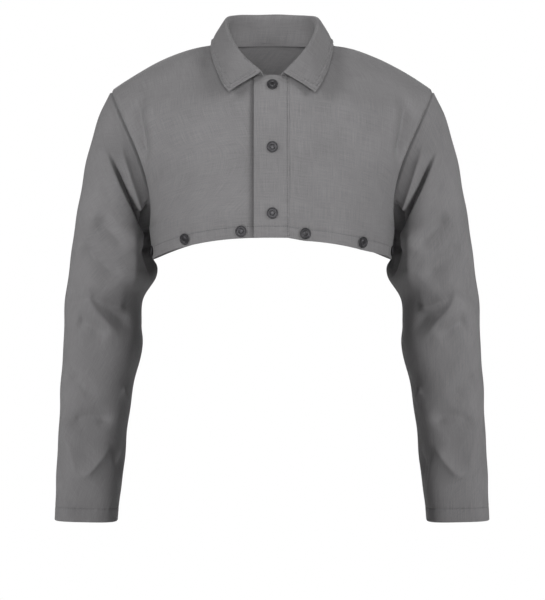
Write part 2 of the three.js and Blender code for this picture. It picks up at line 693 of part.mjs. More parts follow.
add("back_panel", backWall(), cloth);
add("front_right", forSnaps(forStuds(frontRight, frontStudPlaces), rightHemSnaps), cloth);
add("front_left", forSnaps(frontLeft, leftHemSnaps), cloth);
add("front_placket", forSnaps(placket, frontSnapPlaces), cloth);
add("collar", collarWall(), cloth);
const leftSleeve = sleeveWall();
add("sleeve_left", leftSleeve, cloth);
add("sleeve_right", mirrored(leftSleeve), cloth);
frontSnapPlaces.forEach((place, i) => add(`front_snap_${i + 1}`, snapGeometry(DOUBLED), metal, place));
frontStudPlaces.forEach((place, i) => add(`front_stud_${i + 1}`, studGeometry(CLOTH), metal, place));
hemSnapPlaces.forEach((place, i) => add(`hem_snap_${i + 1}`, snapGeometry(DOUBLED), metal, place));

export default cape;
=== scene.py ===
import json
from functools import lru_cache
from typing import NamedTuple

import bpy
import numpy as np
from bpy.props import FloatProperty, FloatVectorProperty, IntProperty, PointerProperty
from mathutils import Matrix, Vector


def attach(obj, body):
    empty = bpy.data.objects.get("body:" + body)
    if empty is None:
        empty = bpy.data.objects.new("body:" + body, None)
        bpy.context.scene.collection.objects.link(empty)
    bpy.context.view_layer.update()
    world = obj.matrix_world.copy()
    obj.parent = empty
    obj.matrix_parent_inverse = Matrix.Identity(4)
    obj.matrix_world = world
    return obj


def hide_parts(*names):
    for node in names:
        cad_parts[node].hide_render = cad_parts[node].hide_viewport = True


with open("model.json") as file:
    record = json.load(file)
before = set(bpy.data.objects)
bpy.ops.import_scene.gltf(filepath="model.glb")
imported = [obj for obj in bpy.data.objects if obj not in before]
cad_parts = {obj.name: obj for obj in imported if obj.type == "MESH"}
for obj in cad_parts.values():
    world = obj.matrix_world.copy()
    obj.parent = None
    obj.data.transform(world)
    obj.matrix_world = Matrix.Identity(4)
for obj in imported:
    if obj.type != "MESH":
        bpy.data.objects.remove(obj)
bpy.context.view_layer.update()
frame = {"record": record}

bl_info = {
    "name": "Welding cape sleeve",
    "version": (1, 0, 0),
    "blender": (4, 5, 0),
    "location": "3D View > Sidebar > Cape",
    "description": "Cloth, stitching, snaps and studio of a cropped cape with long sleeves",
    "category": "Object",
}

SLOT_COLOURS = {row["slot"]: row["base_color"] for row in frame["record"]["materials"]}
THREAD_COLOUR = (0.085, 0.083, 0.086)

# Lengths are in millimetres up to the mesh, which is in metres.
MM = 0.001


def table(keys, rows):
    """Rows of values as dictionaries with the same keys."""
    return [dict(zip(keys.split(), row)) for row in rows]


# Front closing, by its distance from the centre: the placket's free edge and seam, the right front's edge
PLACKET_LAP = 24.8
PLACKET_SEAM = 23.5
UNDERLAP = 30
# From which x to which each front piece goes, where infinity stands for the side
FRONT_EDGES = {
    "front_right": (-np.inf, UNDERLAP),
    "front_left": (PLACKET_SEAM, np.inf),
    "front_placket": (-PLACKET_LAP, PLACKET_SEAM),
}
LAP_GAP = 4.2  # from the right front to the cloth ahead of it
LAP_GAP_AT_NECK = 1.4
LAP_EASE_FROM = 2  # distance from the right front's edge where the left front begins to go back
LAP_EASE = 58  # and where it is at the right front's level
LAP_EASE_AT_NECK = 22
LAP_NECK_SHARE = 0.08  # share of the height in which the values at the neck are reached
# How much lower the left front hangs, the x values between which it does, and the share of the height
LEFT_HANG = {"drop": 3.4, "from_x": 15, "full_x": 50, "less_x": 125, "to_x": 168, "up": 0.3}
PLACKET_ROLL = 15  # width over which the placket's free edge comes down to the right front
PLACKET_DROP = 1.7  # and how far
PLACKET_DROP_AT_HEM = 1.2  # the same, at the hem
PLACKET_DROP_UP = 0.5  # share of the height where the first value is reached
PLACKET_DIP = 6  # depth of the right front's dip beside that edge
PLACKET_DIP_WIDTH = 5
PLACKET_DIP_IN = 2  # distance of the dip's middle from that edge, under the placket
PLACKET_DIP_DOWN = 40  # length at the neck over which the dip begins
PLACKET_SEAM_SHARE = 0.35  # depth of the placket's flat seam, as a share of the other seams'

# Neck, shoulder and armhole seams
NECK = {"half_width": 72, "mid_y": 5, "front": 89, "back": 61, "front_z": -53, "back_z": 8}
NECK_SHARE = 0.38  # across value where the neck seam ends and the shoulder seam begins
SHOULDER = {"tip_x": 232, "tip_y": 6, "tip_z": -68, "droop": 1.75}
SHOULDER_BLEND = 0.2  # across share over which the shoulder gets round
UNDERARM = {"x": 177, "y": 6, "z": -267}
ARMHOLE = {"front_depth": 70, "back_depth": 64, "bow": 16.5, "bow_low": 1.35, "round": 0.9}
SLEEVE_SEAM_TOP = 0.7  # gap from armhole to sleeve at the shoulder tip
SLEEVE_SEAM_UNDER = 2.3  # and at the underarm
SLEEVE_SEAM_EASE = 2.5  # exponent of the way between them
SLEEVE_TUCK_WIDTH = 3.5  # width over which a sleeve's edge goes into the body
SLEEVE_TUCK_DEPTH = 2.6  # depth of that edge below the body's cloth, in seam depths, down to the underarm
SLEEVE_SQUARENESS = 0.8  # exponent of the middle sleeve's ovals: 1 is an ellipse, less is squarer
CUFF_SQUARENESS = 0.64  # the same, at the cuff
SLEEVE_SQUARE_FROM = (0.1, 0.45)  # shares of the sleeve over which its ovals come to the first value
CUFF_SQUARE_FROM = (0.65, 0.95)  # and to the second
SLEEVE_UNDER_FROM = (0.6, 0.85)  # shares of the way round to the underarm over which the tuck gets shallower

# Body sections from hem to collarbone, each an arc from the centre (mid) to the side seam or armhole
UNDERARM_AT = 0.2  # share of the height where the side seam ends
SQUARENESS = 0.85  # exponent of the body's ovals
SIDE_DROP = 2.5  # exponent of a section's fall to the side
FRONT_SECTIONS = table("at mid_y mid_z side_x side_y side_z sweep", [
    (0.0, -128, -282.7, 173, 6, -311, 90),
    (0.2, -128, -245, 177, 6, -267, 90),
    (0.59, -123, -158, 189, -62, -171, 62),
    (0.8, -107, -88, 220, -26, -97, 52),
])
BACK_SECTIONS = table("at mid_y mid_z side_x side_y side_z sweep", [
    (0.0, 122, -274, 173, 6, -311, 90),
    (0.2, 121, -239, 177, 6, -267, 90),
    (0.59, 115, -150, 189, 66, -171, 62),
    (0.8, 98, -66, 220, 38, -97, 52),
])

# Collar sections from the front end to centre back: the fold at the top, the outer edge, the fold's half
# width
COLLAR_SECTIONS = table("turn roll edge curl", [
    (11, (14, -91, -49), (61, -115, -77), 2.6),
    (32, (37, -76, -28), (71, -97, -61), 3.4),
    (54, (54, -49, -4), (83, -48, -29), 3.8),
    (90, (63, 4, 30), (87, 3, 0), 4.0),
    (135, (47, 42, 41), (64, 60, -6), 4.0),
    (180, (0, 58, 44), (0, 84, -6), 4.0),
    (225, (-47, 42, 41), (-64, 60, -6), 4.0),
])
COLLAR_LIFT = 2.0  # height of its foot above the neck seam
# Shares of a section's curve
COLLAR_PLACES = {"foot": 0, "stand": 0.2, "roll": 0.4, "crest": 0.48, "turned": 0.56, "fall": 0.78, "edge": 1}

# Sleeve sections from armhole to cuff: the two ends as seen from the front, the centre and half depth
SLEEVE_SECTIONS = table("at outer_x outer_z inner_x inner_z mid_y depth", [
    (0.0, 232, -68, 176, -267, 6, 68),
    (0.09, 252, -110, 178.5, -290, 5, 73),
    (0.19, 267.5, -168, 177, -314, 4, 73),
    (0.29, 279, -226, 173, -338, 3, 71),
    (0.39, 287, -284, 188, -371, 3, 68),
    (0.51, 298, -371, 190, -408, 3, 65),
    (0.59, 302, -429, 188.5, -437, 2, 62),
    (0.68, 304, -487, 200, -492, -2, 59),
    (0.77, 306.5, -545, 210, -550, -8, 56),
    (0.86, 309.5, -603, 214.6, -604, -14, 52),
    (0.95, 311, -659, 221, -660, -20, 48),
    (1.0, 312, -686, 223.5, -688, -22, 47),
])


class Crease(NamedTuple):
    """A groove or ridge of cloth along a curve through three places."""

    path: list
    depth: tuple  # of the groove at the two ends of the curve, negative for a ridge
    width: float  # of its slopes
    soft: float  # roundness of its bottom
    roll: float = 0  # height of the roll of cloth beside it
    side: int = 1  # +1 where the roll lies on the left of the curve, seen with both numbers growing
    other: float = None  # width of the slope away from that side, where it differs
    fade: tuple = (0.3, 0.3)  # shares of the curve over which its ends run out


# On a sleeve a place is (turn, at): turn in degrees, 0 outer, 90 front, 180 inner.
SLEEVE_CREASES = {
    "armpit crest": Crease(
        [(48, 0.098), (100, 0.107), (152, 0.117)], (-5, -12), 14, 0.8, other=6, fade=(0.3, 0.15)
    ),
    "armpit crease": Crease([(60, 0.092), (122, 0.083), (180, 0.112)], (7, 26), 6, 1, fade=(0.25, 0.08)),
    "armpit side hollow": Crease([(39, 0.139), (60, 0.163), (87, 0.198)], (3, 3), 7, 5),
    "armpit tongue": Crease([(67, 0.036), (104, 0.055), (148, 0.054)], (-4, -7), 9, 2, other=5),
    "armpit hook": Crease([(126, 0.036), (140, 0.025), (176, 0.018)], (16, 26), 7, 1.5, fade=(0.25, 0.05)),
    "inner edge": Crease(
        [(114, 0.17), (119, 0.28), (138, 0.41)], (-11, -8), 20, 3, other=14, fade=(0.3, 0.35)
    ),
    "inner hollow": Crease([(156, 0.11), (160, 0.2), (160, 0.33)], (8, 8), 20, 6, other=9),
    "underarm bulge": Crease([(204, 0.0), (212, 0.1), (206, 0.21)], (-10, -10), 14, 10),
    "bulge below the hem": Crease([(172, 0.215), (190, 0.235), (222, 0.225)], (-6, -6), 11, 9),
    "upper drape": Crease([(60, 0.286), (85, 0.283), (112, 0.275)], (8, 8), 9, 4, roll=1, side=-1, other=13),
    "lower drape": Crease([(44, 0.382), (78, 0.383), (114, 0.374)], (8, 8), 9, 4, roll=1, side=-1, other=13),
    "outer drape": Crease([(18, 0.507), (46, 0.488), (72, 0.483)], (4, 5), 8, 4, side=-1, other=10),
    "elbow lip": Crease([(83, 0.476), (101, 0.478), (128, 0.464)], (-5, -5), 4, 1, other=12),
    "elbow ridge": Crease(
        [(74, 0.462), (88, 0.513), (122, 0.585)], (-12, -8), 15, 1, other=13, fade=(0.3, 0.45)
    ),
    "elbow hollow": Crease(
        [(84, 0.474), (112, 0.503), (142, 0.558)], (5, 8), 13, 6, other=12, fade=(0.5, 0.45)
    ),
    "elbow drape": Crease([(52, 0.541), (76, 0.551), (98, 0.573)], (8, 8), 9, 4, roll=1, side=-1, other=12),
    "forearm drape": Crease([(40, 0.668), (70, 0.684), (96, 0.718)], (6, 6), 9, 4, roll=1, side=-1, other=12),
    "forearm line": Crease([(54, 0.786), (88, 0.754), (124, 0.776)], (8, 7), 10, 3, roll=1, side=-1, other=8),
    "forearm edge": Crease([(132, 0.69), (145, 0.705), (164, 0.722)], (-3, -3), 5, 2),
    "outer ridge": Crease([(12, 0.724), (55, 0.8), (88, 0.921)], (-5, -5), 10, 1.5, other=15),
    "wrist ridge": Crease([(87, 0.9), (97, 0.866), (122, 0.812)], (-8, -7), 13, 1, side=-1, other=8),
    "wrist hollow": Crease([(128, 0.87), (148, 0.864), (178, 0.858)], (4, 8), 13, 8, fade=(0.5, 0.2)),
    "rear armpit crease": Crease([(316, 0.1), (280, 0.094), (240, 0.08)], (4, 12), 9, 2, roll=5, side=-1),
    "rear drape": Crease([(318, 0.3), (270, 0.285), (215, 0.25)], (2, 5), 13, 8, roll=2, side=-1),
    "rear elbow hook": Crease([(300, 0.455), (266, 0.47), (218, 0.44)], (3, 5), 8, 3, roll=3),
    "rear elbow crease": Crease([(304, 0.49), (262, 0.54), (200, 0.575)], (3, 6), 9, 3, roll=3, side=-1),
    "rear forearm drape": Crease([(310, 0.7), (268, 0.73), (215, 0.72)], (2, 4), 11, 6, roll=2, side=-1),
    "rear wrist crease": Crease([(296, 0.88), (256, 0.86), (205, 0.83)], (2, 4), 9, 4, roll=2, side=-1),
}
# On a body half a place is (across, at): across from the centre (0) to the side (1).
FRONT_CREASES = {
    "armhole dent": Crease(
        [(0.78, 0.86), (0.85, 0.71), (0.96, 0.56)], (10, 12), 8, 4, roll=3, side=-1, fade=(0.35, 0.3)
    ),
    "underarm pull": Crease([(0.99, 0.3), (0.95, 0.25), (0.9, 0.22)], (3, 1), 7, 4, roll=1),
}
BACK_CREASES = {
    "shoulder blade drape": Crease([(0.72, 0.86), (0.8, 0.66), (0.86, 0.4)], (3, 5), 15, 9, roll=2, side=-1),
    "underarm pull": Crease([(0.99, 0.3), (0.86, 0.26), (0.7, 0.25)], (4, 1), 10, 5, roll=2),
}
SEAM_CALM = 0.09  # share of a front's half width by its side over which creases run out
CREASE_STEPS = 18
ROLL_OUT = 1.9  # distance of a crease's roll from its curve, in widths
ROLL_WIDTH = 1.2  # and its half width, in widths

# Rows and columns of each piece's grid
GRIDS = {
    "front_right": (150, 116),
    "front_left": (150, 104),
    "front_placket": (170, 44),
    "back_panel": (140, 230),
    "collar": (76, 250),
    "sleeve": (270, 170),
}
SLEEVE_ROW_CROWD = 0.45  # how much closer the sleeve's rows lie at the armhole
SLEEVE_COLUMN_CROWD = 0.4  # how much closer its columns lie at the turn below
SLEEVE_CROWD_TURN = 120

# Unevenness of the cloth: its height in sways, the length of its waves and their seed
SWAYS = {
    "front": (1.0, 90, 11),
    "front_placket": (0.5, 90, 11),
    "back_panel": (1.4, 110, 23),
    "collar": (0.6, 60, 31),
    "sleeve": (1.5, 75, 47),
}
HEM_CALM = (2, 40)  # heights above the body's hem between which it comes in
CUFF_CALM = (4, 60)  # the same, above a cuff
ARMHOLE_CALM = (4, 40)  # and below an armhole
ARMHOLE_CREASE_CALM = 7  # length below an armhole over which a sleeve's creases come in

# Sewing
GROOVE = {"depth": 0.6, "width": 1.2}  # below a row of stitches
PUCKERS = {"width": 6, "waves": [(0.16, 8.5, 0), (0.1, 13.7, 1)]}  # waves: height, length and phase
HEM_STEP = 1.5  # height over which a hem's doubled cloth gets single
SEAM_STITCH = 1.8  # distance of the placket's stitches from its seam
COLLAR_STITCH = 5.5  # and of the collar's stitches from its edges
COLLAR_GROOVE = 2.4  # depth of the groove below the collar's stitches, in those of the others
COLLAR_FALL_FROM = (0.5, 0.6)  # shares of the collar's section between which the groove begins
COLLAR_END_TRIM = (0.58, 0.93)  # shares of the section that the stitches at the collar's ends take up
DIMPLE = {"depth": 0.7, "r": 9}  # dish of the cloth round a snap

# Snaps
SNAP = {"cap_r": 8, "cap_h": 3.1, "shank_r": 2.5}
SOCKET = {"r": 6, "h": 2, "bore_r": 3.2, "bore_depth": 1.3}
STUD = {"base_r": 6, "base_h": 0.8, "knob_r": 2.7, "knob_h": 1.2, "back_r": 5.5, "back_h": 0.8}
SNAP_GAP = 0.3  # from metal to cloth
FRONT_SNAP_X = 0.5
FRONT_SNAP_Z = [-69, -156.5, -249.5]
HEM_SNAP_UP = 9  # height above the hem
HEM_SNAPS_ACROSS = [-0.9, -0.46, -0.125, 0.136, 0.488, 0.9]
HEM_STITCH_END = 0.81  # across value where the front hems' stitching turns down to the edge
HEM_STITCH_FADE = 0.02  # across share over which the groove below it runs out there
TOP_SNAP_SLOPE = 0.3  # by which the placket stands up round its top snap
TOP_SNAP_FADE = (9, 24)  # distances from the top snap between which the slope runs out


# Properties


class CapeCloth(bpy.types.PropertyGroup):
    """Sizes and colour of the cloth."""

    wall: FloatProperty(name="Cloth", description="Thickness of single cloth, in mm", default=1.4, min=0.5)
    doubled: FloatProperty(name="Doubled cloth", description="Thickness of doubled cloth, in mm", default=2.2)
    hem: FloatProperty(name="Hem", description="Height of the body's turned hem, in mm", default=14.6)
    cuff_hem: FloatProperty(name="Cuff hem", description="Height of a cuff's hem, in mm", default=18.5)
    seam_depth: FloatProperty(name="Seam depth", description="Depth of a seam's groove, in mm", default=1.6)
    seam_width: FloatProperty(name="Seam width", description="Width of a seam's side, in mm", default=1.8)
    tuck: FloatProperty(name="Tuck", description="Depth of the seam allowances, in mm", default=7, min=1)
    sway: FloatProperty(name="Sway", description="Height of the cloth's unevenness, in mm", default=0.8)
    twill: FloatProperty(name="Twill", description="From twill line to line, in mm", default=1.15, min=0.1)
    colour: FloatVectorProperty(
        name="Cloth colour", description="Colour of the cloth", subtype="COLOR", default=SLOT_COLOURS["cloth"]
    )


class CapeTrim(bpy.types.PropertyGroup):
    """Sizes and colours of the stitches and snaps."""

    stitch: FloatProperty(name="Stitch", description="From stitch to stitch, in mm", default=3.0, min=1.0)
    thread: FloatProperty(name="Thread", description="Thickness of the thread, in mm", default=0.55, min=0.1)
    thread_colour: FloatVectorProperty(
        name="Thread colour", description="Colour of the thread", subtype="COLOR", default=THREAD_COLOUR
    )
    snap_sides: IntProperty(name="Snap sides", description="Sides of a turned snap", default=48, min=12)
    snap_colour: FloatVectorProperty(
        name="Snap colour", description="Colour of the snaps", subtype="COLOR", default=SLOT_COLOURS["snaps"]
    )


class CapeStage(bpy.types.PropertyGroup):
    """Camera, light and floor."""

    distance: FloatProperty(name="Distance", description="Camera's distance", default=4.0, unit="LENGTH")
    height: FloatProperty(name="Height", description="Camera's height", default=-0.3712, unit="LENGTH")
    aside: FloatProperty(name="Aside", description="Camera's shift aside", default=0.0007, unit="LENGTH")
    view_height: FloatProperty(name="View", description="Height of the view", default=0.87, unit="LENGTH")
    floor: FloatProperty(name="Floor", description="Height of the floor", default=-1.48, unit="LENGTH")
    front: FloatProperty(name="Front light", description="Power by the camera", default=114, unit="POWER")
    key: FloatProperty(name="Key lights", description="Power on the body, each", default=64, unit="POWER")
    sleeve: FloatProperty(name="Sleeve tops", description="Power above a sleeve", default=1.2, unit="POWER")
    sleeve_front: FloatProperty(
        name="Sleeve fronts", description="Power ahead of a sleeve", default=14.6, unit="POWER"
    )
    back: FloatProperty(name="Back light", description="Power behind the cape", default=60, unit="POWER")
    room: FloatProperty(name="Room", description="Brightness of the room", default=0.1)


# Small maths on whole arrays


def mix(a, b, share):
    """Straight mixture of two values."""
    return a + (b - a) * share


def smooth(value, low, high):
    """Smooth step from 0 at low to 1 at high."""
    t = np.clip((value - low) / (high - low), 0, 1)
    return t * t * (3 - 2 * t)


def bell(distance, width, exponent=2):
    """Bell of 1 at no distance: exp of less the power of the distance in widths."""
    return np.exp(-((distance / width) ** exponent))


def paired(a, b):
    """Two arrays of numbers in their common shape."""
    return np.broadcast_arrays(np.asarray(a, float), np.asarray(b, float))


def power(value, exponent):
    """Power of the size of a value, with its sign."""
    return np.sign(value) * np.abs(value) ** exponent


def joined(x, y, z):
    """Points from their three coordinates."""
    return np.stack(np.broadcast_arrays(x, y, z), axis=-1).astype(float)


def unit(vectors):
    """Vectors brought to length 1."""
    return vectors / np.maximum(np.linalg.norm(vectors, axis=-1, keepdims=True), 1e-9)


def through(places, values, where):
    """Cubic pieces through values at increasing places, with slopes from the neighbours on both sides."""
    places = np.asarray(places, float)
    where = np.asarray(where, float)
    values = np.stack([np.broadcast_to(value, where.shape) for value in values])
    last = len(places) - 1
    number = np.arange(last + 1)
    before = np.maximum(number - 1, 0)
    after = np.minimum(number + 1, last)
    gaps = (places[after] - places[before]).reshape(-1, *[1] * where.ndim)
    slopes = (values[after] - values[before]) / gaps
    piece = np.clip(np.searchsorted(places, where) - 1, 0, last - 1)
    span = places[piece + 1] - places[piece]
    u = (where - places[piece]) / span

    def pick(stack, index):
        return np.take_along_axis(stack, index[None], 0)[0]

    ease = u * u * (3 - 2 * u)
    bend = pick(slopes, piece) * u * (1 - u) ** 2 - pick(slopes, piece + 1) * u * u * (1 - u)
    return mix(pick(values, piece), pick(values, piece + 1), ease) + span * bend


def points_through(places, points, where):
    """The same curve through points, coordinate by coordinate."""
    return np.stack([through(places, [p[..., axis] for p in points], where) for axis in range(3)], axis=-1)


def crowded(start, stop, count, crowd=0.7):
    """Steps from start to stop that lie closer at both ends: u less a share of sin(2 pi u) / (2 pi)."""
    u = np.linspace(0, 1, count)
    return mix(start, stop, u - crowd * np.sin(2 * np.pi * u) / (2 * np.pi))


def crowded_ring(count, where, crowd):
    """Steps round a ring in degrees that lie closer near one turn: u less a share of sin(2 pi (u - there)),
    from 0 on."""
    u = np.linspace(0, 1, count, endpoint=False)
    there = where / 360
    bend = np.sin(2 * np.pi * (u - there)) + np.sin(2 * np.pi * there)
    return 360 * (u - crowd * bend / (2 * np.pi))


def reach(points, axis):
    """Length along a grid's lines from their first point, by adding up the steps."""
    steps = np.linalg.norm(np.diff(points, axis=axis), axis=-1)
    start = np.zeros_like(np.take(steps, [0], axis=axis))
    return np.cumsum(np.concatenate([start, steps], axis=axis), axis=axis)


def edge_lengths(points):
    """Lengths along a grid's lines from its first and last row, then from its first and last column."""
    up, side = reach(points, 0), reach(points, 1)
    return up, up[-1] - up, side, side[:, -1:] - side


def grid_normals(points, ring):
    """Normals of a grid: the step to the next column crossed with the step to the next row."""
    if ring:
        across = np.roll(points, -1, axis=1) - np.roll(points, 1, axis=1)
    else:
        across = np.gradient(points, axis=1)
    return unit(np.cross(across, np.gradient(points, axis=0)))


def swaying(points, cloth, kind):
    """Soft unevenness: six sine waves in space, with fixed chance directions, phases and lengths."""
    share, length, seed = SWAYS[kind]
    chance = np.random.default_rng(seed)
    total = np.zeros(points.shape[:-1])
    for _ in range(6):
        wave = unit(chance.normal(size=3)) * 2 * np.pi / (length * chance.uniform(0.7, 1.5))
        total += np.sin(points @ wave + chance.uniform(0, 2 * np.pi))
    return share * cloth.sway * total / 3


# Seam lines


def neck_seam(turn):
    """Half ovals round the neck from centre front (0) over the shoulder (90) to centre back (180)."""
    c = np.cos(np.radians(turn))
    far = np.where(c > 0, NECK["front"], NECK["back"])
    end_z = np.where(c > 0, NECK["front_z"], NECK["back_z"])
    return joined(NECK["half_width"] * np.sin(np.radians(turn)), NECK["mid_y"] - far * c, end_z * np.abs(c))


def shoulder_seam(share):
    """Line from the neck (0) to the shoulder tip (1) that drops with a power of the share."""
    return joined(
        mix(NECK["half_width"], SHOULDER["tip_x"], share),
        mix(NECK["mid_y"], SHOULDER["tip_y"], share),
        SHOULDER["tip_z"] * power(share, SHOULDER["droop"]),
    )


def armhole(turn, facing):
    """Upright half oval from the shoulder tip (0) to the underarm (180) that bows in to the chest."""
    t = np.radians(turn)
    down = (1 - np.cos(t)) / 2
    depth = np.where(facing < 0, ARMHOLE["front_depth"], ARMHOLE["back_depth"])
    bow = ARMHOLE["bow"] * np.sin(np.pi * power(turn / 180, ARMHOLE["bow_low"])) ** 2
    return joined(
        mix(SHOULDER["tip_x"], UNDERARM["x"], down) - bow,
        mix(SHOULDER["tip_y"], UNDERARM["y"], down) + facing * depth * power(np.sin(t), ARMHOLE["round"]),
        mix(SHOULDER["tip_z"], UNDERARM["z"], down),
    )


# Body surfaces

HALVINGS = 30
SNAPS_BELOW = 0.97  # share of the height below which all front snaps lie


def section_point(row, across):
    """Arc of a squared oval from the centre (across 0) to the side (1), falling towards the side."""
    sweep = np.radians(row["sweep"])
    turn = np.abs(across) * sweep
    out = power(np.sin(turn) / np.sin(sweep), SQUARENESS)
    rounded = (1 - power(np.cos(turn), SQUARENESS)) / (1 - power(np.cos(sweep), SQUARENESS))
    return joined(
        np.sign(across) * row["side_x"] * out,
        mix(row["mid_y"], row["side_y"], rounded),
        mix(row["mid_z"], row["side_z"], np.abs(out) ** SIDE_DROP),
    )


def top_edge(across, facing):
    """Upper edge of a body half: the neck seam near the centre, then the shoulder seam."""
    half = np.abs(across)
    turn = 90 * half / NECK_SHARE
    neck = neck_seam(turn if facing < 0 else 180 - turn)
    shoulder = shoulder_seam((half - NECK_SHARE) / (1 - NECK_SHARE))
    points = np.where((half < NECK_SHARE)[..., None], neck, shoulder)
    points[..., 0] *= np.where(across < 0, -1, 1)
    return points


def side_edge(at, facing, sections):
    """Outer edge of a body half: the straight side seam up to the underarm, then the armhole."""
    share = at / UNDERARM_AT
    hem, underarm = sections[:2]
    seam = joined(*[mix(hem[key], underarm[key], share) for key in ("side_x", "side_y", "side_z")])
    round_arm = armhole(np.clip(180 * (1 - (at - UNDERARM_AT) / (1 - UNDERARM_AT)), -1, 180), facing)
    return np.where((at > UNDERARM_AT)[..., None], round_arm, seam)


def body_loose(across, at, sections, others, facing):
    """Curves through the sections and the upper edge, rounded over the shoulder to the other half."""
    top = top_edge(across, facing)
    straight = 2 * top - section_point(sections[-1], across)
    rounded = smooth(np.abs(across), NECK_SHARE, NECK_SHARE + SHOULDER_BLEND)[..., None]
    over = mix(straight, section_point(others[-1], across), rounded)
    places = [row["at"] for row in sections] + [1, 2 - others[-1]["at"]]
    return points_through(places, [section_point(row, across) for row in sections] + [top, over], at)


def body_half(across, at, facing):
    """A body half: the loose curves, with the outer edge drawn on to the side seam and armhole by the
    fourth power of the way out."""
    across, at = paired(across, at)
    sections, others = (FRONT_SECTIONS, BACK_SECTIONS) if facing < 0 else (BACK_SECTIONS, FRONT_SECTIONS)
    shift = side_edge(at, facing, sections) - body_loose(np.ones_like(at), at, sections, others, facing)
    shift = shift * (np.abs(across) ** 4)[..., None]
    shift[..., 0] *= np.sign(across)
    return body_loose(across, at, sections, others, facing) + shift


def front_half(across, at):
    """The front half of the body."""
    return body_half(across, at, -1)


def back_half(across, at):
    """The back half of the body."""
    return body_half(across, at, 1)


def across_at(x, at):
    """Across value at which the front reaches a given x, by halving the range."""
    low = np.full_like(at, -1.0)
    high = np.full_like(at, 1.0)
    for _ in range(HALVINGS):
        middle = (low + high) / 2
        short = front_half(middle, at)[..., 0] < x
        low = np.where(short, middle, low)
        high = np.where(short, high, middle)
    return (low + high) / 2


def front_edges(node, at):
    """Across values of a front piece's two edges at shares of the height."""
    return [np.full_like(at, np.sign(x)) if np.isinf(x) else across_at(x, at) for x in FRONT_EDGES[node]]


def front_column(node, across, at):
    """Share of the way between a front piece's edges for one across value at one share of the height."""
    low, high = front_edges(node, np.array(float(at)))
    return float((across - low) / (high - low))


def above_hem(height):
    """Share of a body half's height for a height above the hem."""
    hem, underarm = FRONT_SECTIONS[:2]
    return height / (underarm["mid_z"] - hem["mid_z"]) * UNDERARM_AT


def lap_forward(x, at, thick, cloth):
    """How far the left front and placket stand ahead of the right front, eased out to the side."""
    near_neck = smooth(at, 1 - LAP_NECK_SHARE, 1)
    gap = mix(LAP_GAP, LAP_GAP_AT_NECK, near_neck)
    width = mix(LAP_EASE, LAP_EASE_AT_NECK, near_neck)
    ease = 1 - smooth(x, UNDERLAP + LAP_EASE_FROM, UNDERLAP + width)
    return ease * (cloth / 2 + gap + thick / 2)


def left_hang(x, at):
    """How much lower the left front hangs near its hem: most beside the placket, nothing at the side seam."""
    out = smooth(x, LEFT_HANG["from_x"], LEFT_HANG["full_x"])
    back_up = 1 - smooth(x, LEFT_HANG["less_x"], LEFT_HANG["to_x"])
    return LEFT_HANG["drop"] * out * back_up * (1 - smooth(at, 0, LEFT_HANG["up"]))


# Creases


def crease_line(path):
    """Parabola through three places, at its middle through the second."""
    start, via, end = (np.array(place, float) for place in path)
    u = np.linspace(0, 1, CREASE_STEPS)[:, None]
    turn = 2 * via - (start + end) / 2
    return (1 - u) ** 2 * start + 2 * u * (1 - u) * turn + u * u * end


def creased(surface, points, first, second, creases, whole_turn=None):
    """Height of the creases at each point. A crease is a rounded wedge, exp(-(sqrt(d d + s s) - s) / w) of
    the distance d to its curve, with a width w for each side, faded at both ends, and with a bell-shaped
    roll of cloth on one side."""
    total = np.zeros(points.shape[:-1])
    for crease in creases:
        places = crease_line(crease.path)
        line = surface(places[:, 0], places[:, 1])
        best = np.full(points.shape[:-1], np.inf)
        along = np.zeros_like(best)
        side = np.ones_like(best)
        for k in range(CREASE_STEPS - 1):
            step = line[k + 1] - line[k]
            share = np.clip((points - line[k]) @ step / (step @ step), 0, 1)
            distance = np.linalg.norm(points - line[k] - share[..., None] * step, axis=-1)
            a = first - places[k, 0]
            if whole_turn:
                a = (a + whole_turn / 2) % whole_turn - whole_turn / 2
            b = second - places[k, 1]
            da, db = places[k + 1] - places[k]
            nearer = distance < best
            best = np.where(nearer, distance, best)
            along = np.where(nearer, (k + share) / (CREASE_STEPS - 1), along)
            side = np.where(nearer, np.sign(da * b - db * a), side)
        fade = smooth(along, 0, crease.fade[0]) * smooth(1 - along, 0, crease.fade[1])
        depth = mix(*crease.depth, along)
        soft, width = crease.soft, crease.width
        out = best * side * crease.side
        slope = np.where(out > 0, width, crease.other or width)
        wedge = np.exp(-(np.sqrt(best**2 + soft**2) - soft) / slope)
        roll = crease.roll * bell(out - ROLL_OUT * width, ROLL_WIDTH * width)
        total += fade * (roll - depth * wedge)
    return total


# Sheets of cloth


class Sheet:
    """A grid of points on the outer face of a cloth wall, with the numbers of its rows and columns, the
    wall's thickness, and whether its columns close to a ring."""

    def __init__(self, points, rows, columns, thick, ring=False):
        self.points = points
        self.rows = rows
        self.columns = columns
        self.normals = grid_normals(points, ring)
        self.thick = np.broadcast_to(thick, points.shape[:2])
        self.ring = ring

    def place(self, row, column):
        """Points and normals at given row and column numbers, by mixing the four nearest grid points."""
        row, column = paired(row, column)
        i, j = self.step(row, self.rows), self.step(column, self.columns)
        i0, j0 = i.astype(int), j.astype(int)
        u, v = (i - i0)[..., None], (j - j0)[..., None]

        def between(grid):
            low = mix(grid[i0, j0], grid[i0, j0 + 1], v)
            return mix(low, mix(grid[i0 + 1, j0], grid[i0 + 1, j0 + 1], v), u)

        return between(self.points), unit(between(self.normals))

    @staticmethod
    def step(value, numbers):
        """Number of grid steps up to a row or column number, kept short of the last line."""
        last = len(numbers) - 1
        return np.clip(np.interp(value, numbers, np.arange(last + 1)), 0, last - 0.001)


def pressed(points, heights, ring=False):
    """A grid moved along its normals by the given heights."""
    return points + grid_normals(points, ring) * heights[..., None]


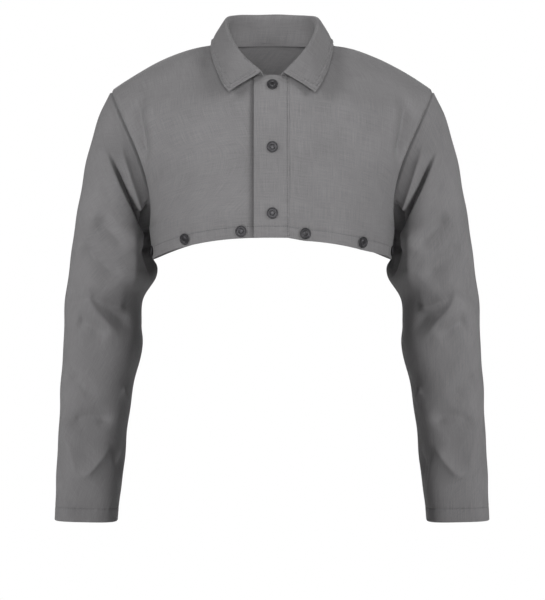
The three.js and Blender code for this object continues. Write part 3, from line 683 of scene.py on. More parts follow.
def turned_in(distance, cloth):
    """Fall of a sewn edge into its seam: a bell of the distance to the edge."""
    return -cloth.seam_depth * bell(distance, cloth.seam_width)


def stitched(distance, along):
    """Groove under a row of stitches, a bell, with the small puckers beside it, sine waves along it."""
    groove = -GROOVE["depth"] * bell(distance, GROOVE["width"])
    turns = 2 * np.pi * along
    pucker = sum(height * np.sin(turns / length + phase) for height, length, phase in PUCKERS["waves"])
    return groove + pucker * bell(distance, PUCKERS["width"])


def dimpled(points, places):
    """Shallow dish round each of the given places, where a snap pinches the cloth."""
    total = np.zeros(points.shape[:-1])
    for place in places:
        total -= DIMPLE["depth"] * bell(np.linalg.norm(points - place, axis=-1), DIMPLE["r"], 4)
    return total


def stood_up(points, place):
    """Slope by which the placket's top stands up round its first snap: it grows with the height above the
    snap's lower rim and fades with the distance from the snap."""
    offset = points - place
    above = np.maximum(offset[..., 2] + SNAP["cap_r"], 0)
    return TOP_SNAP_SLOPE * above * (1 - smooth(np.linalg.norm(offset, axis=-1), *TOP_SNAP_FADE))


def body_rows(count):
    """Rows of a body half, closer at the hem and at the shoulder."""
    return crowded(0, 1, count, 0.6)


def hem_thickness(up, hem, cloth):
    """Thickness of a wall that is doubled up to the hem's stitching."""
    return mix(cloth.doubled, cloth.wall, smooth(up, hem, hem + HEM_STEP))


def mirrored_creases(creases):
    """The same creases on both sides of the body."""
    pairs = []
    for crease in creases.values():
        path = [(-across, at) for across, at in crease.path]
        pairs += [crease, crease._replace(path=path, side=-crease.side)]
    return pairs


def front_grid(node):
    """Row and column numbers of a front piece between its edges, then across, at and points of its grid."""
    rows, columns = GRIDS[node]
    at = body_rows(rows)
    share = crowded(0, 1, columns)
    first, last = front_edges(node, at)
    across = mix(first[:, None], last[:, None], share[None])
    ats = np.broadcast_to(at[:, None], across.shape)
    return at, share, across, ats, front_half(across, ats)


def front_relief(plain, across, at, up, cloth):
    """Creases, unevenness and hem stitching that all front pieces share."""
    folds = creased(front_half, plain, across, at, mirrored_creases(FRONT_CREASES))
    folds *= smooth(1 - np.abs(across), 0, SEAM_CALM)
    uneven = swaying(plain, cloth, "front") * smooth(up, *HEM_CALM)
    sewn = 1 - smooth(np.abs(across), HEM_STITCH_END, HEM_STITCH_END + HEM_STITCH_FADE)
    return folds + uneven + stitched(up - cloth.hem, reach(plain, 1)) * sewn


def outer_face(points, thick, ring=False):
    """Grid of the outer face from a grid of the wall's middle."""
    return pressed(points, np.broadcast_to(thick / 2, points.shape[:2]), ring)


@lru_cache(maxsize=None)
def front_right():
    """The wearer's right front: the front half from the side to the underlap, below the placket."""
    cloth = bpy.context.scene.cape_cloth
    at, share, across, ats, plain = front_grid("front_right")
    up, down, side, _ = edge_lengths(plain)
    heights = front_relief(plain, across, ats, up, cloth) + turned_in(side, cloth) + turned_in(down, cloth)
    heights += dimpled(plain, [front_half(a, above_hem(HEM_SNAP_UP)) for a in HEM_SNAPS_ACROSS[:3]])
    dip = bell(plain[..., 0] + PLACKET_LAP - PLACKET_DIP_IN, PLACKET_DIP_WIDTH)
    heights -= PLACKET_DIP * dip * smooth(down, 0, PLACKET_DIP_DOWN)
    points = pressed(outer_face(plain, cloth.wall), heights)
    return Sheet(points, at, share, hem_thickness(up, cloth.hem, cloth))


@lru_cache(maxsize=None)
def front_left():
    """The wearer's left front: the front half from the placket's seam to the side, eased ahead of the lap."""
    cloth = bpy.context.scene.cape_cloth
    at, share, across, ats, plain = front_grid("front_left")
    up, down, side, far = edge_lengths(plain)
    heights = front_relief(plain, across, ats, up, cloth) + turned_in(far, cloth) + turned_in(down, cloth)
    heights += PLACKET_SEAM_SHARE * turned_in(side, cloth)
    heights += dimpled(plain, [front_half(a, above_hem(HEM_SNAP_UP)) for a in HEM_SNAPS_ACROSS[3:]])
    points = pressed(outer_face(plain, cloth.wall), heights)
    points[..., 1] -= lap_forward(plain[..., 0], ats, cloth.wall, cloth.wall)
    points[..., 2] -= left_hang(plain[..., 0], ats)
    return Sheet(points, at, share, hem_thickness(up, cloth.hem, cloth))


@lru_cache(maxsize=None)
def front_placket():
    """The doubled strip over the lap, with a rolled free edge and a row of stitches at its seam."""
    cloth = bpy.context.scene.cape_cloth
    at, share, across, ats, plain = front_grid("front_placket")
    up, _, side, far = edge_lengths(plain)
    heights = stitched(up - cloth.hem, side) + swaying(plain, cloth, "front_placket")
    heights += stitched(far - SEAM_STITCH, up) + PLACKET_SEAM_SHARE * turned_in(far, cloth)
    snaps = [front_half(*front_place(FRONT_SNAP_X, z)) for z in FRONT_SNAP_Z]
    heights += dimpled(plain, snaps) + stood_up(plain, snaps[0])
    points = pressed(outer_face(plain, cloth.doubled), heights)
    drop = mix(PLACKET_DROP_AT_HEM, PLACKET_DROP, smooth(ats, 0, PLACKET_DROP_UP))
    rolled = drop * (1 - smooth(side, 0, PLACKET_ROLL)) ** 2
    points[..., 1] -= lap_forward(plain[..., 0], ats, cloth.doubled, cloth.wall) - rolled
    return Sheet(points, at, share, cloth.doubled)


FRONT_SHEETS = {"front_right": front_right, "front_left": front_left, "front_placket": front_placket}


@lru_cache(maxsize=None)
def back_panel():
    """The back: the back half from side to side, with its side, shoulder and armhole edges turned in."""
    cloth = bpy.context.scene.cape_cloth
    rows, columns = GRIDS["back_panel"]
    at = body_rows(rows)
    share = crowded(0, 1, columns, crowd=0.8)
    across, ats = np.broadcast_arrays(mix(1, -1, share)[None], at[:, None])
    plain = back_half(across, ats)
    up, down, side, far = edge_lengths(plain)
    heights = creased(back_half, plain, across, ats, mirrored_creases(BACK_CREASES))
    heights += swaying(plain, cloth, "back_panel") * smooth(up, *HEM_CALM) + stitched(up - cloth.hem, side)
    heights += turned_in(down, cloth) + turned_in(side, cloth) + turned_in(far, cloth)
    points = pressed(outer_face(plain, cloth.wall), heights)
    return Sheet(points, at, share, hem_thickness(up, cloth.hem, cloth))


def front_place(x, z):
    """Across and at of the place where the front shows a given x and z from ahead, by halving the range."""
    low, high = 0.0, SNAPS_BELOW
    for _ in range(HALVINGS):
        middle = (low + high) / 2
        if front_half(across_at(x, np.array(middle)), middle)[2] < z:
            low = middle
        else:
            high = middle
    return float(across_at(x, np.array(low))), low


def collar_point(turn, share):
    """Curve of one collar section: from the neck seam up the stand, over the roll and down the fall. The
    sections' values follow smooth curves round the neck, the same on both sides."""
    turn, share = paired(turn, share)
    half = np.minimum(turn, 360 - turn)
    turns = [row["turn"] for row in COLLAR_SECTIONS]

    def round_neck(key):
        return points_through(turns, [np.array(row[key], float) for row in COLLAR_SECTIONS], half)

    roll = round_neck("roll")
    edge = round_neck("edge")
    curl = through(turns, [row["curl"] for row in COLLAR_SECTIONS], half)[..., None]
    foot = neck_seam(half) + np.array([0, 0, COLLAR_LIFT])
    out = unit((edge - roll) * np.array([1, 1, 0]))
    crest = roll + curl * out + curl * np.array([0, 0, 1])
    turned = roll + 2 * curl * out
    fall = (turned + edge) / 2 + 0.5 * curl * out
    line = [foot, (foot + roll) / 2, roll, crest, turned, fall, edge]
    points = points_through(list(COLLAR_PLACES.values()), line, share)
    points[..., 0] *= np.where(turn > 180, -1, 1)
    return points


@lru_cache(maxsize=None)
def collar():
    """The collar: its sections from one front end to the other, with stitching inside the fall's edges."""
    cloth = bpy.context.scene.cape_cloth
    end = COLLAR_SECTIONS[0]["turn"]
    rows, columns = GRIDS["collar"]
    share = crowded(0, 1, rows, crowd=0.55)
    turn = crowded(end, 360 - end, columns, crowd=0.8)
    plain = collar_point(turn[None], share[:, None])
    down, edge, side, far = edge_lengths(plain)
    ends = np.minimum(side, far)
    groove = stitched(np.minimum(edge, ends) - COLLAR_STITCH, np.where(edge < ends, side, down))
    heights = COLLAR_GROOVE * groove * smooth(share, *COLLAR_FALL_FROM)[:, None]
    heights += swaying(plain, cloth, "collar")
    points = pressed(outer_face(plain, cloth.doubled), heights)
    points[..., 2] -= cloth.tuck * (1 - smooth(down, 0, 2 * cloth.tuck))
    return Sheet(points, share, turn, cloth.doubled)


def sleeve_ring(row, turn):
    """One sleeve section: an oval between its outer and inner ends; the first is the armhole itself."""
    t = np.radians(turn)
    squareness = mix(1, SLEEVE_SQUARENESS, smooth(row["at"], *SLEEVE_SQUARE_FROM))
    squareness = mix(squareness, CUFF_SQUARENESS, smooth(row["at"], *CUFF_SQUARE_FROM))
    inward = (1 - power(np.cos(t), squareness)) / 2
    if row["at"] == 0:
        whole = turn % 360
        rear = whole > 180
        points = armhole(np.where(rear, 360 - whole, whole), np.where(rear, 1, -1))
        points[..., 0] += mix(SLEEVE_SEAM_TOP, SLEEVE_SEAM_UNDER, inward**SLEEVE_SEAM_EASE)
        return points
    return joined(
        mix(row["outer_x"], row["inner_x"], inward),
        row["mid_y"] - row["depth"] * power(np.sin(t), squareness),
        mix(row["outer_z"], row["inner_z"], inward),
    )


def plain_sleeve(turn, at):
    """The left sleeve without creases: smooth curves along it through the sections."""
    turn, at = paired(turn, at)
    places = [row["at"] for row in SLEEVE_SECTIONS]
    return points_through(places, [sleeve_ring(row, turn) for row in SLEEVE_SECTIONS], at)


@lru_cache(maxsize=None)
def sleeve_left():
    """The left sleeve: the plain sleeve with its creases, tucked into the armhole and hemmed at the cuff."""
    cloth = bpy.context.scene.cape_cloth
    rows, columns = GRIDS["sleeve"]
    share = crowded(0, 1, rows, crowd=0.5)
    at = mix(share, share**2, SLEEVE_ROW_CROWD)
    turn = crowded_ring(columns, SLEEVE_CROWD_TURN, SLEEVE_COLUMN_CROWD)
    turns, ats = np.broadcast_arrays(turn[None], at[:, None])
    plain = plain_sleeve(turns, ats)
    down, up, side, _ = edge_lengths(plain)
    heights = creased(plain_sleeve, plain, turns, ats, SLEEVE_CREASES.values(), whole_turn=360)
    heights += swaying(plain, cloth, "sleeve") * smooth(up, *CUFF_CALM) * smooth(down, *ARMHOLE_CALM)
    heights *= smooth(down, 0, ARMHOLE_CREASE_CALM)
    heights += turned_in(down, cloth) + stitched(up - cloth.cuff_hem, side)
    points = pressed(outer_face(plain, cloth.wall, True), heights, True)
    tucked = (1 - smooth(down, 0, SLEEVE_TUCK_WIDTH))[..., None]
    under = smooth((1 - np.cos(np.radians(turns))) / 2, *SLEEVE_UNDER_FROM)[..., None]
    depth = cloth.seam_depth * mix(SLEEVE_TUCK_DEPTH, 1, under)
    points -= tucked * (np.array([cloth.tuck, 0, 0]) + depth * grid_normals(plain, True))
    return Sheet(points, at, turn, hem_thickness(up, cloth.cuff_hem, cloth), ring=True)


@lru_cache(maxsize=None)
def sleeve_right():
    """The right sleeve: the left one mirrored, with its columns in the other order so that it faces out."""
    left = sleeve_left()
    points = left.points[:, ::-1] * np.array([-1, 1, 1])
    return Sheet(points, left.rows, left.columns, left.thick[:, ::-1], ring=True)


# Meshes


def made_mesh(name, points, faces, uv, material):
    """An object from points in millimetres, quads as rows of four point numbers, and a UV for each corner."""
    mesh = bpy.data.meshes.new(name)
    mesh.vertices.add(len(points))
    mesh.vertices.foreach_set("co", (points * MM).ravel())
    mesh.loops.add(faces.size)
    mesh.loops.foreach_set("vertex_index", faces.ravel())
    mesh.polygons.add(len(faces))
    mesh.polygons.foreach_set("loop_start", np.arange(0, faces.size, 4))
    mesh.uv_layers.new(name="weave").data.foreach_set("uv", uv.ravel())
    mesh.update(calc_edges=True)
    if mesh.validate():
        raise RuntimeError(f"{name}: the mesh had faults")
    mesh.shade_smooth()
    mesh.materials.append(material)
    piece = bpy.data.objects.new(name, mesh)
    bpy.context.scene.collection.objects.link(piece)
    return piece


def put_on(piece, node):
    """A piece that stands for a CAD node and rides with the cape, with the node's own part hidden."""
    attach(piece, "root")
    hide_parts(node)


RIM_STEPS = 3  # points round a rim between the two faces


def border(rows, columns, ring):
    """Numbers of the grid points round each open edge, with the outer face on the left, and the way out of
    the grid there in steps of row and column."""
    i, j = np.arange(rows), np.arange(columns)
    down, up = np.array([-1, 0]), np.array([1, 0])
    first, last = np.zeros_like(j), np.full_like(j, rows - 1)
    lower = (np.stack([first, j], 1), np.tile(down, (columns, 1)))
    upper = (np.stack([last, j], 1)[::-1], np.tile(up, (columns, 1)))
    if ring:
        return [lower, upper]
    right = (np.stack([i, np.full_like(i, columns - 1)], 1), np.tile([0, 1], (rows, 1)))
    left = (np.stack([i, np.zeros_like(i)], 1)[::-1], np.tile([0, -1], (rows, 1)))
    sides = [lower, right, upper, left]
    cells = np.concatenate([cell[:-1] for cell, _ in sides])
    ways = np.concatenate([way[:-1] for _, way in sides])
    corners = np.cumsum([0] + [len(cell) - 1 for cell, _ in sides[:-1]])
    ways[corners] += ways[corners - 1]
    return [(cells, ways)]


def cloth_piece(name, sheet, material):
    """A closed wall: the outer face, the inner face one thickness behind it, and half-round rims between
    them along the open edges. The UV is the length along columns and rows, in millimetres."""
    rows, columns = sheet.points.shape[:2]
    number = np.arange(rows * columns).reshape(rows, columns)
    inner = sheet.points - sheet.normals * sheet.thick[..., None]
    ring = sheet.ring
    lap, wide = sheet.points, number
    if ring:
        lap, wide = (np.concatenate([grid, grid[:, :1]], axis=1) for grid in (lap, wide))
    uvs = np.stack([reach(lap, 1), reach(lap, 0)], -1)

    def corners(grid):
        return np.stack([grid[:-1, :-1], grid[:-1, 1:], grid[1:, 1:], grid[1:, :-1]], 2)

    face = corners(wide).reshape(-1, 4)
    face_uv = corners(uvs).reshape(-1, 4, 2)
    points = [sheet.points.reshape(-1, 3), inner.reshape(-1, 3)]
    faces = [face, face[:, ::-1] + rows * columns]
    face_uvs = [face_uv, face_uv[:, ::-1]]
    count = 2 * rows * columns
    row_step = np.gradient(sheet.points, axis=0)
    if ring:
        column_step = np.roll(sheet.points, -1, axis=1) - sheet.points
    else:
        column_step = np.gradient(sheet.points, axis=1)
    for cells, ways in border(rows, columns, ring):
        i, j = cells.T
        out = unit(row_step[i, j]) * ways[:, :1] + unit(column_step[i, j]) * ways[:, 1:]
        normal = sheet.normals[i, j]
        out = unit(out - normal * np.sum(out * normal, axis=-1, keepdims=True))
        half = sheet.thick[i, j][:, None] / 2
        middle = sheet.points[i, j] - normal * half
        angles = np.pi * np.arange(1, RIM_STEPS + 1) / (RIM_STEPS + 1)
        rims = [middle + half * (np.cos(angle) * normal + np.sin(angle) * out) for angle in angles]
        loops = [number[i, j]]
        loops += [count + k * len(cells) + np.arange(len(cells)) for k in range(RIM_STEPS)]
        loops += [number[i, j] + rows * columns]
        count += RIM_STEPS * len(cells)
        points += rims
        edge_uv = uvs[i, j]
        for upper, lower in zip(loops[:-1], loops[1:]):
            quads = [upper, lower, np.roll(lower, -1), np.roll(upper, -1)]
            faces.append(np.stack(quads, -1))
            ahead = np.roll(edge_uv, -1, axis=0)
            face_uvs.append(np.stack([edge_uv, edge_uv, ahead, ahead], -2))
    return made_mesh(name, np.concatenate(points), np.concatenate(faces), np.concatenate(face_uvs), material)


ASKEW = (0.3, 0.2, 0.9)  # a direction that no turned form's axis has


def ring_quads(number):
    """Quads between the rings of tubes, from point numbers whose last axis goes round and whose last but one
    goes along."""
    ahead = np.roll(number, -1, axis=-1)
    corners = [number[..., :-1, :], ahead[..., :-1, :], ahead[..., 1:, :], number[..., 1:, :]]
    return np.stack(corners, -1).reshape(-1, 4)


def turned_piece(name, profile, place, axis, sides, material):
    """A turned form: a profile of radius and height, from its lower to its upper end, carried round an axis
    and closed by flat ends."""
    profile = np.array(profile, float)
    turn = np.linspace(0, 2 * np.pi, sides, endpoint=False)
    axis = unit(np.asarray(axis, float))
    first = unit(np.cross(axis, ASKEW))
    second = np.cross(axis, first)
    round_axis = np.cos(turn)[:, None] * first + np.sin(turn)[:, None] * second
    points = place + profile[:, None, :1] * round_axis[None] + profile[:, None, 1:] * axis
    rows = len(profile)
    number = np.arange(rows * sides).reshape(rows, sides)
    low, high = number[0], number[-1]
    k = np.arange(sides // 2 - 1)
    lower_end = np.stack([low[k], low[sides - 1 - k], low[sides - 2 - k], low[k + 1]], -1)
    upper_end = np.stack([high[k], high[k + 1], high[sides - 2 - k], high[sides - 1 - k]], -1)
    faces = np.concatenate([ring_quads(number), lower_end, upper_end])
    uv = np.zeros((len(faces), 4, 2))
    return made_mesh(name, points.reshape(-1, 3), faces, uv, material)


# Stitches

THREAD_SIDES = 6
THREAD_BOW = np.array([-0.42, -0.3, 0.0, 0.3, 0.42])
THREAD_ROUND = np.array([0.35, 0.85, 1.0, 0.85, 0.35])
THREAD_LIFT = np.array([-0.35, 0.1, 0.3, 0.1, -0.35])
THREAD_AIM = 0.2  # length before and behind a place that gives a thread's direction
LINE_STEPS = (400, 300)  # points of a line beside a row and beside a column
BESIDE_ROW, BESIDE_COLUMN = 0, 1
HEM_TURN = np.linspace(0.1, 0.95, 12)  # heights, in those of the hem, of the points where its line turns down


def stitch_points(points, normals, pitch, thread):
    """Stitches along a line: at each even step a short thread, thin and low at its ends and thick and high
    in the middle, as rings of points across the line."""
    length = np.concatenate([[0], np.cumsum(np.linalg.norm(np.diff(points, axis=0), axis=-1))])
    count = int(length[-1] // pitch)
    middle = (np.arange(count) + 0.5) * length[-1] / count

    def along(values, where):
        return np.stack([np.interp(where, length, values[:, axis]) for axis in range(3)], axis=-1)

    where = middle[:, None] + THREAD_BOW[None] * pitch
    centre = along(points, where)
    ahead = unit(along(points, where + THREAD_AIM) - along(points, where - THREAD_AIM))
    up = unit(along(normals, where))
    aside = np.cross(ahead, up)
    centre = centre + up * (THREAD_LIFT * thread)[None, :, None]
    turn = np.linspace(0, 2 * np.pi, THREAD_SIDES, endpoint=False)
    radius = (THREAD_ROUND * thread / 2)[None, :, None, None]
    around = np.cos(turn)[:, None] * up[:, :, None] + np.sin(turn)[:, None] * aside[:, :, None]
    return centre[:, :, None] + radius * around


def thread_piece(name, lines, material, trim):
    """All stitches of one piece of cloth as one mesh: quads between the rings, and two quads at each end."""
    stitches = np.concatenate([stitch_points(*line, trim.stitch, trim.thread) for line in lines])
    count, rings, sides = stitches.shape[:3]
    number = np.arange(count * rings * sides).reshape(count, rings, sides)
    first, last = number[:, 0], number[:, -1]
    ends = [first[:, [3, 2, 1, 0]], first[:, [5, 4, 3, 0]], last[:, [0, 1, 2, 3]], last[:, [0, 3, 4, 5]]]
    faces = np.concatenate([ring_quads(number), *ends])
    return made_mesh(name, stitches.reshape(-1, 3), faces, np.zeros((len(faces), 4, 2)), material)


def even_line(sheet, distance, beside, from_last=False, trim=(0.0, 1.0)):
    """Line at an even distance from a sheet's first or last row or column, found on each grid line that
    crosses it, between two shares of its length."""
    lines = np.moveaxis(reach(sheet.points, beside), beside, -1)
    crossed, along = (sheet.rows, sheet.columns) if beside == BESIDE_ROW else (sheet.columns, sheet.rows)
    if from_last:
        lines, crossed = (lines[:, -1:] - lines)[:, ::-1], crossed[::-1]
    found = np.array([np.interp(distance, line, crossed) for line in lines])
    where = np.interp(np.linspace(*trim, LINE_STEPS[beside]), np.linspace(0, 1, len(along)), along)
    found = np.interp(where, along, found)
    return sheet.place(found, where) if beside == BESIDE_ROW else sheet.place(where, found)


def hem_line(sheet, height, stop):
    """Line along a sheet's hem that turns down to the edge at a column number near its first or last one."""
    count = len(sheet.columns)
    share = float(np.interp(stop, sheet.columns, np.linspace(0, 1, count)))
    trim = (share, 1.0 if share < 0.5 else 0.0)
    points, normals = even_line(sheet, height, BESIDE_ROW, trim=trim)
    length = reach(sheet.points, 0)[:, round(share * (count - 1))]
    down_points, down_normals = sheet.place(np.interp(HEM_TURN * height, length, sheet.rows), stop)
    return np.concatenate([down_points, points]), np.concatenate([down_normals, normals])


# Materials


class Value:
    """A number socket of a node tree, on which Python's operators add Math nodes."""

    def __init__(self, graph, socket):
        self.graph = graph
        self.socket = socket

    def maths(self, operation, first, second=0.0):
        node = self.graph.node("ShaderNodeMath", {"operation": operation}, {0: first, 1: second})
        return Value(self.graph, node.outputs[0])

    def __add__(self, other):
        return self.maths("ADD", self, other)

    def __radd__(self, other):
        return self.maths("ADD", other, self)

    def __sub__(self, other):
        return self.maths("SUBTRACT", self, other)

    def __mul__(self, other):
        return self.maths("MULTIPLY", self, other)

    def sine(self):
        return self.maths("SINE", self)


class Graph:
    """A node tree that is filled node by node."""

    def __init__(self, tree):
        self.tree = tree
        tree.nodes.clear()

    def node(self, kind, settings=None, values=None):
        """A node of a kind, with its settings, then its sockets' values or links."""
        made = self.tree.nodes.new(kind)
        for name, value in (settings or {}).items():
            setattr(made, name, value)
        for name, value in (values or {}).items():
            if isinstance(value, Value):
                value = value.socket
            if isinstance(value, bpy.types.NodeSocket):
                self.tree.links.new(value, made.inputs[name])
            else:
                made.inputs[name].default_value = value
        return made

    def value(self, kind, output, settings=None, values=None):
        """A node's number output."""
        return Value(self, self.node(kind, settings, values).outputs[output])

    def noise(self, vector, scale, detail=2.0, roughness=0.5):
        """Noise between 0 and 1 over a vector."""
        values = {"Vector": vector, "Scale": scale, "Detail": detail, "Roughness": roughness}
        return self.value("ShaderNodeTexNoise", "Fac", {"noise_dimensions": "3D"}, values)

    def stretched(self, vector, x, y):
        """A vector with its first two numbers scaled."""
        node = self.node("ShaderNodeMapping", {}, {"Vector": vector, "Scale": (x, y, 1)})
        return node.outputs["Vector"]

    def tinted(self, colour, spread, factor):
        """A colour between a darker and a lighter shade of one colour, by a number."""
        dark, light = ((*(c * share for c in colour), 1) for share in (1 - spread, 1 + spread))
        values = {"Factor": factor, "A": dark, "B": light}
        return self.node("ShaderNodeMix", {"data_type": "RGBA"}, values).outputs["Result"]

    def surface(self, values, bump=None):
        """The Principled shader, over a bump of a strength, distance and height, joined to the output."""
        if bump:
            settings = dict(zip(("Strength", "Distance", "Height"), bump))
            normal = self.node("ShaderNodeBump", {}, settings).outputs["Normal"]
            values = {**values, "Normal": normal}
        shader = self.node("ShaderNodeBsdfPrincipled", {}, values)
        self.node("ShaderNodeOutputMaterial", {}, {"Surface": shader.outputs["BSDF"]})


def new_graph(name):
    """A material, the graph of its nodes and the place on the piece as its first output."""
    material = bpy.data.materials.new(name)
    material.use_nodes = True
    graph = Graph(material.node_tree)
    return material, graph, graph.node("ShaderNodeTexCoord").outputs["Object"]


@lru_cache(maxsize=None)
def cloth_material():
    """Cotton twill: slanting twill lines and thread crossings over the weave's lengths, streaks of uneven
    yarn along both threads and soft clouding, in colour and bump."""
    cloth = bpy.context.scene.cape_cloth
    material, graph, where = new_graph("cotton_twill")
    weave = graph.node("ShaderNodeUVMap", {"uv_map": "weave"}).outputs["UV"]
    parts = graph.node("ShaderNodeSeparateXYZ", {}, {"Vector": weave})
    u, v = Value(graph, parts.outputs["X"]), Value(graph, parts.outputs["Y"])
    turn = 2 * np.pi / cloth.twill
    wander = graph.noise(weave, 0.35, 1) * 2.2
    lines = ((u * 0.75 + v) * turn + wander).sine()
    warp = (u * (turn * 1.4)).sine()
    weft = (v * (turn * 1.2)).sine()
    yarn_up = graph.noise(graph.stretched(weave, 1.0, 0.035), 1.0, 2)
    yarn_across = graph.noise(graph.stretched(weave, 0.03, 0.9), 1.0, 2)
    grain = graph.noise(weave, 0.75, 3, 0.7)
    cloud = graph.noise(where, 14, 3)
    tone = 0.5 + lines * 0.05 + (yarn_up - 0.5) * 0.5 + (yarn_across - 0.5) * 0.4
    tone = tone + (grain - 0.5) * 0.55 + (cloud - 0.5) * 0.35
    height = lines * 0.35 + warp * 0.12 + weft * 0.12 + (yarn_up + yarn_across) * 0.6 + grain * 0.8
    values = {
        "Base Color": graph.tinted(cloth.colour, 0.45, tone),
        "Roughness": 0.86 + (grain - 0.5) * 0.1,
        "Specular IOR Level": 0.2,
        "Sheen Weight": 0.12,
        "Sheen Roughness": 0.45,
    }
    graph.surface(values, (0.35, 0.0004, height))
    return material


@lru_cache(maxsize=None)
def thread_material():
    """Spun thread: twist lines across space, in colour and bump."""
    trim = bpy.context.scene.cape_trim
    material, graph, where = new_graph("spun_thread")
    fibre = graph.noise(where, 900, 2)
    shade = graph.noise(where, 60, 2)
    values = {
        "Base Color": graph.tinted(trim.thread_colour, 0.3, fibre * 0.5 + shade * 0.5),
        "Roughness": 0.7 + fibre * 0.15,
        "Specular IOR Level": 0.3,
    }
    graph.surface(values, (0.3, 0.0002, fibre))
    return material


@lru_cache(maxsize=None)
def snap_material():
    """Dark gunmetal: a satin coat with fine grain, cloudy wear and faint scuffs."""
    trim = bpy.context.scene.cape_trim
    material, graph, where = new_graph("gunmetal")
    grain = graph.noise(where, 1600, 2)
    wear = graph.noise(where, 260, 3, 0.6)
    values = {
        "Base Color": graph.tinted(trim.snap_colour, 0.35, wear * 0.8 + grain * 0.2),
        "Roughness": 0.36 + wear * 0.2,
        "Metallic": 0.75,
    }
    graph.surface(values, (0.15, 0.0001, grain + wear))
    return material


@lru_cache(maxsize=None)
def floor_material():
    """Pale matt floor with a faint, wide clouding."""
    material, graph, where = new_graph("pale_floor")
    cloud = graph.noise(where, 1.5, 2)
    graph.surface({"Base Color": graph.tinted((0.8, 0.8, 0.8), 0.025, cloud), "Roughness": 0.8 + cloud * 0.1})
    return material


# Operators


def sew(node, sheet, lines):
    """A cloth piece for a CAD node with its stitches."""
    piece = cloth_piece(f"{node}_cloth", sheet, cloth_material())
    put_on(piece, node)
    if lines:
        threads = thread_piece(f"{node}_stitches", lines, thread_material(), bpy.context.scene.cape_trim)
        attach(threads, "root")


class CAPE_OT_back(bpy.types.Operator):
    """Make the back panel with its hem stitching"""

    bl_idname = "cape.back"
    bl_label = "Back panel"

    def execute(self, context):
        sheet = back_panel()
        sew("back_panel", sheet, [even_line(sheet, context.scene.cape_cloth.hem, BESIDE_ROW)])
        return {"FINISHED"}


class CAPE_OT_fronts(bpy.types.Operator):
    """Make the two fronts and the placket with their stitching"""

    bl_idname = "cape.fronts"
    bl_label = "Fronts and placket"

    def execute(self, context):
        hem = context.scene.cape_cloth.hem
        for node, end in (("front_right", -HEM_STITCH_END), ("front_left", HEM_STITCH_END)):
            sheet = FRONT_SHEETS[node]()
            sew(node, sheet, [hem_line(sheet, hem, front_column(node, end, 0))])
        strip = front_placket()
        lines = [
            even_line(strip, hem, BESIDE_ROW),
            even_line(strip, SEAM_STITCH, BESIDE_COLUMN, from_last=True),
        ]
        sew("front_placket", strip, lines)
        return {"FINISHED"}


class CAPE_OT_collar(bpy.types.Operator):
    """Make the collar with the stitching round its fall"""

    bl_idname = "cape.collar"
    bl_label = "Collar"

    def execute(self, context):
        sheet = collar()
        inside = 4 * COLLAR_STITCH / float(np.max(reach(sheet.points, 1)))
        lines = [even_line(sheet, COLLAR_STITCH, BESIDE_ROW, from_last=True, trim=(inside, 1 - inside))]
        for last in (False, True):
            lines.append(even_line(sheet, COLLAR_STITCH, BESIDE_COLUMN, last, COLLAR_END_TRIM))
        sew("collar", sheet, lines)
        return {"FINISHED"}


class CAPE_OT_sleeves(bpy.types.Operator):
    """Make the two sleeves with their creases and cuff stitching"""

    bl_idname = "cape.sleeves"
    bl_label = "Sleeves"

    def execute(self, context):
        hem = context.scene.cape_cloth.cuff_hem
        for node, sheet in (("sleeve_left", sleeve_left()), ("sleeve_right", sleeve_right())):
            sew(node, sheet, [even_line(sheet, hem, BESIDE_ROW, from_last=True)])
        return {"FINISHED"}


def cap_profile(thick):
    """Snap cap with a rolled rim, a flat ring, a groove and a raised middle, a shank, and a socket with a
    bore, as radius and height above the cloth's outer face."""
    seat = -thick - SNAP_GAP
    mouth = seat - SOCKET["h"]
    r, top = SNAP["cap_r"], SNAP["cap_h"]
    ring = np.linspace(-0.5, 0.9, 9) * np.pi
    rolled = np.stack([r - 0.8 + 0.8 * np.cos(ring), top - 0.9 + 0.8 * np.sin(ring)], -1)
    face = [(r - 1.9, top - 1.15), (r - 2.3, top - 1.0), (r - 3.5, top - 0.85), (r - 3.9, top - 1.25)]
    face += [(r - 4.3, top - 1.25), (r - 4.8, top - 0.75), (r - 6.2, top - 0.55), (0.2, top - 0.5)]
    under = [
        (0.15, mouth + SOCKET["bore_depth"]),
        (SOCKET["bore_r"], mouth + SOCKET["bore_depth"]),
        (SOCKET["bore_r"], mouth + 0.15),
        (SOCKET["bore_r"] + 0.15, mouth),
        (SOCKET["r"] - 0.3, mouth),
        (SOCKET["r"], mouth + 0.3),
        (SOCKET["r"], seat - 0.2),
        (SOCKET["r"] - 0.2, seat),
        (SNAP["shank_r"], seat),
        (SNAP["shank_r"], SNAP_GAP),
        (r - 1.6, SNAP_GAP),
    ]
    return np.concatenate([under, rolled, face])


def stud_profile(thick):
    """Stud with a base and a rounded knob, a shank and a plain back, as radius and height."""
    seat = -thick - SNAP_GAP
    base = SNAP_GAP + STUD["base_h"]
    knob = base + STUD["knob_h"]
    return [
        (0.15, seat - STUD["back_h"]),
        (STUD["back_r"] - 0.2, seat - STUD["back_h"]),
        (STUD["back_r"], seat - STUD["back_h"] + 0.2),
        (STUD["back_r"], seat),
        (SNAP["shank_r"], seat),
        (SNAP["shank_r"], SNAP_GAP),
        (STUD["base_r"], SNAP_GAP),
        (STUD["base_r"], base - 0.25),
        (STUD["base_r"] - 0.25, base),
        (STUD["knob_r"] - 0.3, base),
        (STUD["knob_r"], base + 0.5),
        (STUD["knob_r"] - 0.5, knob),
        (0.15, knob),
    ]


